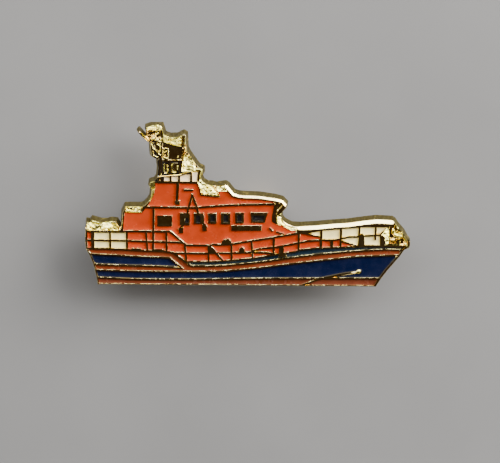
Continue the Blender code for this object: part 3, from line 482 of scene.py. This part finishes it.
def gold(name):
    """One of the kinds of plated metal in GOLDS."""
    tone_size, deep, light, rough_grain, rough, relief_grain, relief = GOLDS[name]
    made = Nodes(name)
    tone = made.between(made.noise(tone_size), 0.0, 1.0)
    return made.set(
        base_color=made.blend(tone, deep, light),
        metallic=1.0,
        roughness=made.between(made.noise(*rough_grain), *rough),
        normal=made.bump(made.noise(*relief_grain), *relief),
    )


def gold_side():
    """The trimmed edge of the plate, with the marks that the trimming tool left up and down it. Its gold is darkened
    as painted shade and carries painted glints.
    """
    made = Nodes("gold_side")
    marks = made.noise(0.22, 4.0, (1.0, 1.0, 0.12))
    tone = made.between(marks, 0.0, 1.0)
    rough = made.between(made.noise(0.5), 0.40, 0.58)
    # Lighter patches of gold here and there: painted glints
    painted_glint = made.between(made.noise(0.6, 4.0), 0.0, 1.0, 0.60, 0.74)
    dull = made.blend(tone, SIDE_DEEP, SIDE_LIGHT)
    return made.set(
        base_color=made.blend(painted_glint, dull, SIDE_PAINTED_GLINT),
        metallic=1.0,
        roughness=rough,
        normal=made.bump(marks, 0.03, 0.7),
    )


def enamel_look(name, colour):
    """Baked colour with a glossy skin, a little uneven in depth and in level."""
    made = Nodes(name)
    share, addition = ENAMEL_THIN
    thin = tuple(min(1.0, c * share + addition) for c in colour)
    thick = tuple(c * ENAMEL_THICK for c in colour)
    depth = made.between(made.noise(1.8, 4.0), 0.0, 1.0)
    ripple = made.bump(made.noise(1.1, 2.0), 0.02, 0.5)
    specks = made.bump(made.noise(0.14, 2.0), 0.003, 0.4, ripple)
    return made.set(
        base_color=made.blend(depth, thick, thin),
        roughness=made.between(made.noise(0.7), 0.16, 0.30),
        coat_weight=0.5,
        coat_roughness=0.08,
        normal=specks,
    )


def floor_look():
    made = Nodes("floor")
    tone = made.between(made.noise(30.0, 4.0), 0.0, 1.0)
    return made.set(base_color=made.blend(tone, FLOOR_DEEP, FLOOR_LIGHT), roughness=0.85)


# The struck face


def as_rows(points):
    return np.asarray(points, float).reshape(-1, 2)


def segment_distances(points, starts, ends):
    """The distance from each point to the nearest of the segments."""
    points = as_rows(points)
    if not len(starts):
        return np.full(len(points), np.inf)
    starts, along = np.asarray(starts, float), np.asarray(ends, float) - np.asarray(starts, float)
    squares = np.maximum((along**2).sum(1), 1e-12)
    nearest = np.empty(len(points))
    for first in range(0, len(points), BATCH):
        rel = points[first:first + BATCH, None, :] - starts[None, :, :]
        share = np.clip((rel * along).sum(2) / squares, 0.0, 1.0)
        gap = rel - share[..., None] * along
        nearest[first:first + BATCH] = np.sqrt((gap**2).sum(2).min(1))
    return nearest


class Face:
    """The frame's struck face as flat triangles with a level each, and the steps between them."""

    def __init__(self):
        bm = bmesh.new()
        bm.from_mesh(frame["nodes"]["struck_body"].data)
        bmesh.ops.remove_doubles(bm, verts=bm.verts, dist=JOIN_M)
        bmesh.ops.delete(bm, geom=[f for f in bm.faces if f.normal.z < UPWARD], context="FACES")
        level = bm.faces.layers.int.new("level")
        for f in bm.faces:
            height = (f.calc_center_median().z - PLATE_LOW.z) / MM
            f[level] = min(range(len(LEVELS)), key=lambda i: abs(LEVELS[i] - height))
        for vert in bm.verts:
            vert.co = (*on_drawing(vert.co), 0.0)
        bmesh.ops.remove_doubles(bm, verts=bm.verts, dist=JOIN_MM)
        bm.faces.ensure_lookup_table()
        self.faces = [f[level] for f in bm.faces]
        self.tree = BVHTree.FromBMesh(bm)
        self.steps = []
        self.pocket_of = self.find_pockets(bm, level)
        for edge in bm.edges:
            sides = [(f[level], f.index) for f in edge.link_faces]
            if len(sides) == 1:
                sides.append(self.beyond(edge))
            high, low = max(sides, key=lambda s: s[0]), min(sides, key=lambda s: s[0])
            if high[0] != low[0]:
                self.add_step(edge, high, low)
        bm.free()

    def beyond(self, edge):
        """What lies across an edge that only one triangle has: the outside, or one with other corners."""
        middle = (edge.verts[0].co + edge.verts[1].co) / 2
        away = (middle - edge.link_faces[0].calc_center_median()).normalized()
        found = self.face_at(*(middle + away * OFF_EDGE).xy)
        return (OUTSIDE, None) if found is None else (self.faces[found], found)

    def add_step(self, edge, high, low):
        """A step keeps its ends, its two levels and the way that faces down it."""
        a, b = (vert.co.xy for vert in edge.verts)
        middle = (a + b) / 2
        linked = edge.link_faces[0]
        across = (b - a).orthogonal().normalized()
        on_its_side = across.dot(linked.calc_center_median().xy - middle) > 0
        if on_its_side == (linked.index == high[1]):
            across = -across
        self.steps.append({
            "a": a, "b": b, "high": high[0], "low": low[0], "down": across, "pocket": self.pocket_of.get(low[1]),
        })

    def find_pockets(self, bm, level):
        """Numbers the connected patches of the pocket level: {face: pocket}."""
        found, number = {}, 0
        for start in bm.faces:
            if start[level] != POCKET_LEVEL or start.index in found:
                continue
            found[start.index], queue = number, [start]
            while queue:
                for edge in queue.pop().edges:
                    for f in edge.link_faces:
                        if f[level] == POCKET_LEVEL and f.index not in found:
                            found[f.index] = number
                            queue.append(f)
            number += 1
        return found

    def face_at(self, u, v):
        """The number of the frame's triangle that covers this point, or None."""
        return self.tree.ray_cast(Vector((u, v, 1.0)), Vector((0.0, 0.0, -1.0)))[2]

    def level_at(self, u, v):
        found = self.face_at(u, v)
        return OUTSIDE if found is None else self.faces[found]

    def nearest_level(self, u, v):
        return self.faces[self.tree.find_nearest(Vector((u, v, 0.0)))[2]]

    def distances(self, points, keep=None):
        """Distance from each point to the nearest step, of those for which keep(step) is true."""
        kept = [s for s in self.steps if keep is None or keep(s)]
        return segment_distances(points, [s["a"] for s in kept], [s["b"] for s in kept])


def ring_points(steps, rings, side):
    """(ring, u, v) at each ring's distance from the steps, on their high side (-1) or their low side (1)."""
    made = []
    for step in steps:
        a, b, away = step["a"], step["b"], step["down"] * side
        count = max(1, round((b - a).length / RING_SPACING))
        for i in range(count + 1):
            spot = a.lerp(b, i / count)
            made += [(ring, *(spot + away * ring)) for ring in rings]
    return made


def clear_rings(steps, rings, side, distances):
    """The ring points that no other step comes much nearer to than their own."""
    made = ring_points(steps, rings, side)
    spots = [(u, v) for _, u, v in made]
    return [p for (ring, *_), p, gap in zip(made, spots, distances(spots)) if gap > RING_CLEAR * ring]


def spread(points, gap):
    """The points less those that fall in the same cell of a grid this fine."""
    kept = {}
    for p in points:
        kept.setdefault((round(p[0] / gap), round(p[1] / gap)), p)
    return list(kept.values())


def field(low_u, high_u, low_v, high_v, spacing):
    """A staggered grid, shaken a little so that no rows show."""
    made = []
    rows = int((high_v - low_v) / (spacing * ROW_PITCH))
    columns = int((high_u - low_u) / spacing)
    for j in range(rows + 1):
        for i in range(columns + 1):
            u = low_u + (i + 0.5 * (j % 2)) * spacing
            v = low_v + j * spacing * ROW_PITCH
            shake = noise.noise_vector(Vector((u * SHAKE_GRAIN, v * SHAKE_GRAIN, spacing))) * spacing * SHAKE
            made.append((u + shake.x, v + shake.y))
    return made


def triangulated(fixed, edges, loose, covers, all_inside=False):
    """Triangles over the fixed and loose points that keep the edges: (points, triangles, what covers says)."""
    points = [Vector(p) for p in fixed] + [Vector(p) for p in loose]
    where, _, triangles, _, _, _ = delaunay_2d_cdt(points, edges, [], int(all_inside), TRIANGLE_GAP)
    kept, marks = [], []
    for t in triangles:
        middle = (where[t[0]] + where[t[1]] + where[t[2]]) / 3
        mark = covers(*middle)
        if mark is not None:
            kept.append(list(t))
            marks.append(mark)
    return where, kept, marks


def numbered(steps):
    """The steps' end points without repeats, and each step as a pair of their numbers."""
    numbers, ends = {}, []
    for step in steps:
        ends.append(tuple(numbers.setdefault(tuple(p), len(numbers)) for p in (step["a"], step["b"])))
    return list(numbers), ends


def edges_of(ring):
    return zip(ring, [*ring[1:], ring[0]])


def is_chamfered(step, start, end):
    """Whether the step is outer edge between these u that faces the masthead, which is cut to a slope."""
    middle = (step["a"].x + step["b"].x) / 2
    return step["low"] == OUTSIDE and step["down"].y > CHAMFER_FACING and start < middle <= end


def facing(step):
    """Which way a wall's side faces: up the drawing, down it, or across."""
    if abs(step["down"].y) < STEEP:
        return "right" if step["down"].x > 0 else "left"
    return "up" if step["down"].y > 0 else "down"


def flank_drop(distance, wide, drop):
    """How far below its top a wall is, at this distance outside its edge."""
    bevel = drop * np.clip((distance - TOP_SPREAD) / (wide - TOP_SPREAD), 0.0, 1.0)
    return bevel + FLANK_SLOPE * np.maximum(distance - wide, 0.0)


def rim_drop(distance):
    share = np.clip(1.0 - distance / RIM_WIDE, 0.0, 1.0)
    return RIM_DROP * (1.0 - np.sqrt(1.0 - share**2))


def in_outline(points, corners):
    """Which of the points lie inside the outline."""
    us, vs = points[:, 0], points[:, 1]
    inside = np.zeros(len(points), bool)
    for (u0, v0), (u1, v1) in edges_of(list(corners)):
        if v0 != v1:
            inside ^= ((vs < v0) != (vs < v1)) & (us < u0 + (vs - v0) * (u1 - u0) / (v1 - v0))
    return inside


def line_distances(points, line):
    return segment_distances(points, line[:-1], line[1:])


def in_areas(points, areas):
    """Which of the points lie inside any of the areas, whose rows end with their corners."""
    rows = as_rows(points)
    return np.any([in_outline(rows, area[-1]) for area in areas], axis=0)


def is_cast(points):
    """Which of the points lie on a cast area or a ridge."""
    rows = as_rows(points)
    found = in_areas(rows, CAST_AREAS)
    for _, width, line in RIDGES:
        found |= line_distances(rows, line) < width / 2
    return found


def wavy(points, grain, seed):
    return np.array([noise.noise(Vector((u / grain, v / grain, seed))) for u, v in points])


def with_relief(heights, points):
    """Lays the cast areas, ridges and grooves over the levels that are bare metal."""
    points = as_rows(points)
    bare = range(GROUND_LEVEL, len(LEVELS))
    rough = CAST_ROUGH * wavy(points, CAST_GRAIN, ROUGH_SEED)
    wander = CAST_WANDER * wavy(points, CAST_WANDER_GRAIN, WANDER_SEED)

    def lay(found, numbers, shaped):
        for number in numbers:
            heights[number] = np.where(found, shaped(heights[number]), heights[number])

    for foot, pitch, slope, corners in CAST_AREAS:
        rise = points[:, 1] - min(v for _, v in corners) + wander * pitch
        ledges = np.minimum(foot - slope * (rise % pitch) + rough, WALL)
        lay(in_outline(points, corners), bare, lambda under: ledges)
    for height, corners in (*FLAT_AREAS, *PAINTED_FRAME_SHADE):
        lay(in_outline(points, corners), bare, lambda under: np.minimum(height, under))
    for top, slope, line, corners in CUT_AREAS:
        cut = top - slope * line_distances(points, line)
        lay(in_outline(points, corners), bare, lambda under: cut)
    for top, width, line in RIDGES:
        share = line_distances(points, line) / (width / 2)
        round_top = top - RIDGE_DROP * (1.0 - np.sqrt(np.maximum(1.0 - share**2, 0.0)))
        lay(share < 1.0, (SUNK_LEVEL, *bare), lambda under: np.maximum(round_top, under))
    for depth, width, line in GROOVES:
        share = line_distances(points, line) / (width / 2)
        lay(share < 1.0, bare, lambda under: under - depth * (1.0 - share**2))
    return heights


def plate_heights(face, points):
    """For each level, the height of each point of the drawing on a surface of that level."""
    flat = [tuple(p) for p in points]
    worn = rim_drop(face.distances(flat, lambda s: s["low"] == OUTSIDE))
    for start, end, wide, drop in CHAMFERS:
        gap = face.distances(flat, lambda s: is_chamfered(s, start, end))
        worn = np.maximum(worn, drop * np.clip(1.0 - gap / wide, 0.0, 1.0))
    wear = np.maximum(1.0 + BEVEL_WEAR * wavy(flat, BEVEL_WEAR_GRAIN, WEAR_SEED), FLAT_WEAR)
    wear = np.where(in_areas(flat, FLAT_TOPS), FLAT_WEAR, wear)
    kinds = sorted({(s["low"], s["high"], facing(s)) for s in face.steps if s["low"] != OUTSIDE})
    heights = {number: np.full(len(flat), level) for number, level in enumerate(LEVELS)}
    for kind in kinds:
        low, high, way = kind
        wide, drop = BEVELS[way]
        gap = face.distances(flat, lambda s: (s["low"], s["high"], facing(s)) == kind)
        flank = LEVELS[high] - flank_drop(gap, wide, drop * wear)
        for number in range(low, high):
            heights[number] = np.maximum(heights[number], flank)
    heights = with_relief(heights, flat)
    for number in reversed(range(len(LEVELS))):
        under = heights.get(number + 1, WALL + worn)
        heights[number] = np.minimum(heights[number], under)
    return {number: np.maximum(surface - worn, POCKET) for number, surface in heights.items()}


def relief_points():
    """Points along the edges of the cast areas and along and across the ridges and grooves."""
    areas = (*CAST_AREAS, *FLAT_AREAS, *CUT_AREAS, *PAINTED_FRAME_SHADE)
    lines = [([*corners, corners[0]], (-RELIEF_EDGE, RELIEF_EDGE)) for *_, corners in areas]
    lines += [(line, tuple(share * width / 2 for share in RELIEF_SHARES)) for _, width, line in (*RIDGES, *GROOVES)]
    made = []
    for line, offsets in lines:
        for a, b in zip(line, line[1:]):
            a, b = Vector(a), Vector(b)
            across = (b - a).orthogonal().normalized()
            count = max(1, round((b - a).length / RELIEF_SPACING))
            made += [tuple(a.lerp(b, i / count) + across * off) for i in range(count + 1) for off in offsets]
    return made


def chamfer_rings(face, start, end, wide):
    """Ring points down the slope of a stretch of the upper rim."""
    def on_rim(step):
        return is_chamfered(step, start, end)

    upper = [s for s in face.steps if on_rim(s)]
    rings = [share * wide for share in CHAMFER_SHARES]
    near = clear_rings(upper, rings, -1, lambda spots: face.distances(spots, on_rim))
    return [p for p, gap in zip(near, face.distances(near)) if gap > HIGH_RINGS[0]]


def loose_points(face):
    """The points of the plate's face that lie on none of its steps."""
    inner = [s for s in face.steps if s["low"] != OUTSIDE]
    near = clear_rings(face.steps, HIGH_RINGS, -1, face.distances) + clear_rings(inner, LOW_RINGS, 1, face.distances)
    for start, end, wide, _ in CHAMFERS:
        near += chamfer_rings(face, start, end, wide)
    near = [p for p in near if face.level_at(*p) != OUTSIDE]
    coarse, fine = field(*BARE_FIELD, FIELD_SPACING), field(*BARE_FIELD, RELIEF_SPACING)
    grid = [p for p, cast in zip(coarse, is_cast(coarse)) if not cast]
    grid += [p for p, cast in zip(fine, is_cast(fine)) if cast]
    grid = [p for p in spread(relief_points(), RELIEF_MERGE) + grid if face.level_at(*p) > POCKET_LEVEL]
    return spread(near, RING_MERGE) + [p for p, gap in zip(grid, face.distances(grid)) if gap > GRID_CLEAR]


def plate_looks(face, middles, levels):
    """The number of the material of each triangle of the face."""
    looked = np.where(is_cast(middles), CAST_LOOK, FACE_LOOK)
    # The window frames' insides are painted black: painted shade
    looked = np.where(in_areas(middles, PAINTED_FRAME_SHADE), PAINTED_SHADE_LOOK, looked)
    # The cut side's darkened gold, which is painted shade, also covers these areas of the face
    looked = np.where(in_areas(middles, CUT_AREAS), SIDE_LOOK, looked)
    # Black painted shade on the mast's sunk metal beside its walls
    near_wall = face.distances(middles, lambda s: s["low"] != OUTSIDE) < PAINTED_CORNER_SHADE[0]
    sunk = np.isin(levels, (SUNK_LEVEL, GROUND_LEVEL))
    corner_shade_mask = sunk & near_wall & in_areas(middles, (PAINTED_CORNER_SHADE,)) & (looked == FACE_LOOK)
    return np.where(corner_shade_mask, PAINTED_SHADE_LOOK, looked)


def make_plate(face, looks):
    """The struck body with worn edges, a sloped upper rim and relief on its bare metal."""
    fixed, edges = numbered(face.steps)
    points, triangles, levels = triangulated(fixed, edges, loose_points(face), face.nearest_level, all_inside=True)
    heights = plate_heights(face, points)
    middles = [tuple((points[a] + points[b] + points[c]) / 3) for a, b, c in triangles]
    mesh = terraced("struck_plate", points, triangles, levels, heights, plate_looks(face, middles, levels))
    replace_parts(new_piece("struck_plate", mesh, looks), "struck_body")


def flared(points, rim):
    """Where each point of the outer edge lies on the back: {point: its u and v there}"""
    away = defaultdict(Vector)
    for a, b in rim.items():
        along = points[b] - points[a]
        normal = Vector((along.y, -along.x, 0.0)).normalized()
        away[a] += normal
        away[b] += normal
    starts, ends = [tuple(points[a]) for a in rim], [tuple(points[b]) for b in rim.values()]
    high_u, high_v = (max(points[p][i] for p in rim) for i in (0, 1))
    found = {}
    for p, normal in away.items():
        spot = points[p]
        out = SIDE_FLARE * min(1.0, max(0.0, (spot.y - SIDE_FLARE_START) / SIDE_FLARE_RISE))
        foot = spot
        while out > FLARE_LEAST:
            moved = spot + normal.normalized().xy * out
            moved = Vector((min(max(moved.x, LEAST_U), high_u), min(moved.y, high_v)))
            if segment_distances([tuple(moved)], starts, ends)[0] > FLARE_CLEAR * (moved - spot).length:
                foot = moved
                break
            out *= FLARE_RETRY
        found[p] = foot
    return found


def terraced(name, points, triangles, levels, heights, looked):
    """A closed body: each triangle on its level's surface, sides where the surfaces part, and a flat back."""
    sides = {edge: level for t, level in zip(triangles, levels) for edge in edges_of(t)}
    touching = defaultdict(set)
    for (a, b), level in sides.items():
        for p in (a, b):
            touching[p] |= {level, sides.get((b, a), OUTSIDE)}
    rim = {a: b for (a, b) in sides if (b, a) not in sides}
    foot_of = flared(points, rim)
    bm = bmesh.new()
    corners = {}

    def corner(point, level):
        height = 0.0 if level == OUTSIDE else round(float(heights[level][point]), 4)
        if (point, height) not in corners:
            place = foot_of[point] if level == OUTSIDE else points[point]
            corners[point, height] = bm.verts.new(in_frame(*place, height))
        return corners[point, height]

    for triangle, level, look in zip(triangles, levels, looked):
        top = bm.faces.new([corner(p, level) for p in triangle])
        top.material_index = int(look) if level > POCKET_LEVEL or look == PAINTED_SHADE_LOOK else FACE_LOOK
    for (a, b), level in sides.items():
        foot = sides.get((b, a), OUTSIDE)
        if level <= foot:
            continue
        down = sorted((n for n in touching[a] if foot <= n <= level), reverse=True)
        up = sorted(n for n in touching[b] if foot <= n <= level)
        ring = list(dict.fromkeys([corner(a, n) for n in down] + [corner(b, n) for n in up]))
        if len(ring) > 2:
            side = bm.faces.new(ring)
            side.material_index = SIDE_LOOK if foot == OUTSIDE else FACE_LOOK
    loop = [min(rim)]
    while rim[loop[-1]] != loop[0]:
        loop.append(rim[loop[-1]])
    back = bm.faces.new([corner(p, OUTSIDE) for p in reversed(loop)])
    back.material_index = BACK_LOOK
    return smoothed(mesh_from(bm, name), PLATE_SHARP)


# Enamel


def pocket_names(face):
    """{pocket: (name, slot, frame nodes that it stands for)}"""
    named = {}
    for name, slot, spot in OPEN_POCKETS:
        found = face.face_at(*spot)
        if found in face.pocket_of:
            named[face.pocket_of[found]] = (name, slot, ())
    for row in frame["record"]["subparts"]:
        node, slot = row["node"], row["material_slot"]
        if not slot.endswith("_enamel"):
            continue
        mesh = frame["nodes"][node].data
        poly = max(mesh.polygons, key=lambda p: (round(p.normal.z), p.area))
        named[face.pocket_of[face.face_at(*on_drawing(poly.center))]] = (node, slot, (node,))
    return named


def make_enamel(face, pocket, name, slot, nodes, look):
    """A fill that climbs its walls a little, closed below."""
    steps = [s for s in face.steps if s["pocket"] == pocket]
    fixed, edges = numbered(steps)
    us, vs = zip(*fixed)
    starts, ends = [s["a"] for s in steps], [s["b"] for s in steps]

    def wall_gaps(spots):
        return segment_distances(spots, starts, ends)

    def covers(u, v):
        found = face.face_at(u, v)
        return True if found is not None and face.pocket_of.get(found) == pocket else None

    loose = clear_rings(steps, ENAMEL_RINGS, 1, wall_gaps)
    grid = field(min(us), max(us), min(vs), max(vs), ENAMEL_FIELD)
    loose += [p for p, gap in zip(grid, wall_gaps(grid)) if gap > ENAMEL_RINGS[-1] * ENAMEL_FIELD_CLEAR]
    loose = [p for p in spread(loose, ENAMEL_MERGE) if covers(*p)]
    points, triangles, _ = triangulated(fixed, edges, loose, covers)
    gaps = wall_gaps([tuple(p) for p in points])
    middle = PANE_MIDDLE if slot is None else ENAMEL_MIDDLE
    tops = [middle + ENAMEL_RISE * exp(-max(gap - ENAMEL_START, 0.0) / ENAMEL_REACH) for gap in gaps]

    bm = bmesh.new()
    upper, lower = {}, {}
    for p in sorted({p for t in triangles for p in t}):
        upper[p] = bm.verts.new(in_frame(*points[p], tops[p]))
        lower[p] = bm.verts.new(in_frame(*points[p], POCKET + ENAMEL_SEAT))
    sides = {edge for t in triangles for edge in edges_of(t)}
    for t in triangles:
        bm.faces.new([upper[p] for p in t])
        bm.faces.new([lower[p] for p in reversed(t)])
    for a, b in sorted(sides):
        if (b, a) not in sides:
            bm.faces.new([upper[b], upper[a], lower[a], lower[b]])
    mesh = smoothed(mesh_from(bm, name + "_fill"), ENAMEL_SHARP)
    fill = new_piece(name + "_fill", mesh, [look])
    if nodes:
        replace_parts(fill, *nodes)


def make_enamels(face):
    named = pocket_names(face)
    looks = {slot: enamel_look(slot, colour) for slot, colour in ENAMEL_COLOURS.items()}
    looks[None] = enamel_look("black_enamel", BLACK)
    for pocket in sorted(set(face.pocket_of.values())):
        name, slot, nodes = named.get(pocket, (f"sliver_{pocket}", "orange_enamel", ()))
        make_enamel(face, pocket, name, slot, nodes, looks[slot])


# Fittings


def fitting_mesh(bm, name):
    bmesh.ops.recalc_face_normals(bm, faces=bm.faces)
    return smoothed(mesh_from(bm, name), FITTING_SHARP)


def turned(name, profile, middle, closed):
    """A mesh turned about an upright line through the middle of its seat on the back."""
    bm = bmesh.new()
    rings = []
    for radius, depth in profile:
        count = TURN_STEPS if radius else 1
        angles = [2 * pi * i / count for i in range(count)]
        ring = [bm.verts.new(middle + MM * Vector((radius * cos(a), radius * sin(a), -depth))) for a in angles]
        rings.append(ring * (TURN_STEPS // count))
    pairs = list(zip(rings, rings[1:]))
    if closed:
        pairs.append((rings[-1], rings[0]))
    for upper, lower in pairs:
        for i in range(TURN_STEPS):
            j = (i + 1) % TURN_STEPS
            bm.faces.new(list(dict.fromkeys([upper[i], upper[j], lower[j], lower[i]])))
    return fitting_mesh(bm, name)


def applied(obj):
    """Turns the object's modifiers into its mesh."""
    graph = bpy.context.evaluated_depsgraph_get()
    mesh = bpy.data.meshes.new_from_object(obj.evaluated_get(graph))
    obj.modifiers.clear()
    obj.data = smoothed(mesh, FITTING_SHARP)


def cut_slots(obj, middle):
    """Opens the housing on both sides for the wings."""
    bm = bmesh.new()
    for side in (1, -1):
        made = bmesh.ops.create_cube(bm, size=1.0)["verts"]
        size = (2 * SLOT_HALF_WIDTH, SLOT_OUTER - SLOT_INNER, 2 * SLOT_HALF_HEIGHT)
        bmesh.ops.scale(bm, vec=Vector(size) * MM, verts=made)
        offset = Vector((0.0, side * (SLOT_INNER + SLOT_OUTER) / 2, -WING_AXIS_DOWN))
        bmesh.ops.translate(bm, vec=middle + offset * MM, verts=made)
    cutter = in_scene("slot_cutter", mesh_from(bm, "slot_cutter"))
    cut = obj.modifiers.new("slots", "BOOLEAN")
    cut.operation = "DIFFERENCE"
    cut.solver = "EXACT"
    cut.object = cutter
    applied(obj)
    bpy.data.objects.remove(cutter)


def wing_row(place):
    """The sheet's (out, down, half width) at a place along WING_ROWS, on a smooth curve through them."""
    last = len(WING_ROWS) - 1
    i = min(int(place), last - 1)
    t = place - i
    a, b, c, d = (Vector(WING_ROWS[min(max(i + k, 0), last)]) for k in (-1, 0, 1, 2))
    return 0.5 * (2 * b + (c - a) * t + (2 * a - 5 * b + 4 * c - d) * t**2 + (3 * b - a - 3 * c + d) * t**3)


def make_wing(name, middle, side, look):
    """A pressed ear with a dished face and a rounded tip."""
    bm = bmesh.new()
    steps = (len(WING_ROWS) - 1) * WING_ALONG
    rows = []
    for i in range(steps + 1):
        out, down, half = wing_row(i / WING_ALONG)
        tip = (i - steps + WING_ALONG) / WING_ALONG
        if tip > 0:
            half *= sqrt(1.0 - (1.0 - WING_TIP_ROUND**2) * tip**2)
        row = []
        for j in range(WING_ACROSS + 1):
            x = (2 * j / WING_ACROSS - 1) * half
            away = min(hypot(x, WING_DISH_SQUASH * (down - WING_DISH_DOWN)) / WING_DISH_REACH, 1.0)
            pressed = WING_DISH * cos(away * pi / 2) ** 2
            spot = Vector((x, side * (WING_AXIS_OUT + out - pressed), -(WING_AXIS_DOWN + down)))
            row.append(bm.verts.new(middle + spot * MM))
        rows.append(row)
    for upper, lower in zip(rows, rows[1:]):
        for j in range(WING_ACROSS):
            bm.faces.new([upper[j], upper[j + 1], lower[j + 1], lower[j]])
    wing = new_piece(name + "_pressed", fitting_mesh(bm, name), [look], name)
    sheet = wing.modifiers.new("sheet", "SOLIDIFY")
    sheet.thickness = WING_THICK * MM
    sheet.offset = 0.0
    edge = wing.modifiers.new("edge", "BEVEL")
    edge.width = WING_EDGE * MM
    edge.segments = WING_EDGE_STEPS
    edge.limit_method = "ANGLE"
    edge.angle_limit = radians(WING_EDGE_ANGLE)
    applied(wing)
    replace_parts(wing, name)


def make_fittings(look):
    for place in ("aft", "fore"):
        low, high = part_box("pin_" + place)
        middle = Vector(((low.x + high.x) / 2, (low.y + high.y) / 2, PLATE_LOW.z))
        pin = new_piece(f"pin_{place}_turned", turned("pin", PIN_PROFILE, middle, False), [look])
        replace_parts(pin, "pin_" + place)
        housing = turned("clutch", CLUTCH_PROFILE, middle, True)
        clutch = new_piece(f"clutch_{place}_turned", housing, [look], "clutch_" + place)
        cut_slots(clutch, middle)
        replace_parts(clutch, "clutch_" + place)
        for side, way in ((1, "upper"), (-1, "lower")):
            make_wing(f"wing_{place}_{way}", middle, side, look)


# Stage


def make_floor():
    bm = bmesh.new()
    bmesh.ops.create_grid(bm, x_segments=1, y_segments=1, size=FLOOR_REACH)
    floor = in_scene("floor", mesh_from(bm, "floor"))
    floor.data.materials.append(floor_look())


def make_camera():
    """A long lens above the badge, leaning towards the masthead."""
    data = bpy.data.cameras.new("camera")
    camera = in_scene("camera", data)
    bpy.context.scene.camera = camera
    data.sensor_width = SENSOR_MM
    data.lens = SENSOR_MM * PIXELS_PER_MM * VIEW_DISTANCE / PICTURE_WIDE
    back = Vector((0.0, sin(VIEW_LEAN), cos(VIEW_LEAN)))
    up = Vector((0.0, cos(VIEW_LEAN), -sin(VIEW_LEAN)))
    lean = Matrix((Vector((1.0, 0.0, 0.0)), up, back)).transposed().to_4x4()
    target = in_frame(VIEW_U, VIEW_V, WALL)
    place = Matrix.Translation(target + back * VIEW_DISTANCE * MM)
    camera.matrix_world = place @ lean @ Matrix.Rotation(-VIEW_ROLL, 4, "Z")
    data.clip_start, data.clip_end = CLIP_START, CLIP_END


def make_light(name, azimuth, elevation, wide, high, power, colour):
    """A soft box that faces the badge. Azimuth 0 is towards +Y, and 90 towards +X."""
    data = bpy.data.lights.new(name, "AREA")
    data.shape = "RECTANGLE"
    data.size, data.size_y = wide, high
    data.energy = power
    data.color = colour
    light = in_scene(name, data)
    a, e = radians(azimuth), radians(elevation)
    away = Vector((sin(a) * cos(e), cos(a) * cos(e), sin(e)))
    light.location = away * LIGHT_DISTANCE
    light.rotation_mode = "QUATERNION"
    light.rotation_quaternion = away.to_track_quat("Z", "Y")


def make_world():
    """A pale room that is dark overhead and behind the viewer, which the flat metal mirrors."""
    world = bpy.data.worlds.new("room")
    bpy.context.scene.world = world
    world.use_nodes = True
    tree = world.node_tree
    nodes, links = tree.nodes, tree.links
    way = nodes.new("ShaderNodeTexCoord").outputs["Generated"]
    axis = nodes.new("ShaderNodeVectorMath")
    axis.operation = "DOT_PRODUCT"
    axis.inputs[1].default_value = ROOM_AXIS
    links.new(way, axis.inputs[0])
    ramp = nodes.new("ShaderNodeValToRGB")
    links.new(axis.outputs["Value"], ramp.inputs["Fac"])
    while len(ramp.color_ramp.elements) < len(ROOM_STOPS):
        ramp.color_ramp.elements.new(0.5)
    for stop, (at, colour) in zip(ramp.color_ramp.elements, ROOM_STOPS):
        stop.position = at
        stop.color = (*colour, 1.0)
    links.new(ramp.outputs["Color"], nodes["Background"].inputs["Color"])
    nodes["Background"].inputs["Strength"].default_value = ROOM_STRENGTH


def main():
    face = Face()
    # Black used as painted shade on the window frames' insides and in the mast's corners
    black = enamel_look("painted_shade_black", BLACK)
    make_plate(face, [gold("gold_face"), gold_side(), gold("gold_cast"), black, gold("gold_back")])
    make_enamels(face)
    make_fittings(gold("gold_fitting"))
    make_floor()
    make_camera()
    make_world()
    for light in LIGHTS:
        make_light(*light)


main()
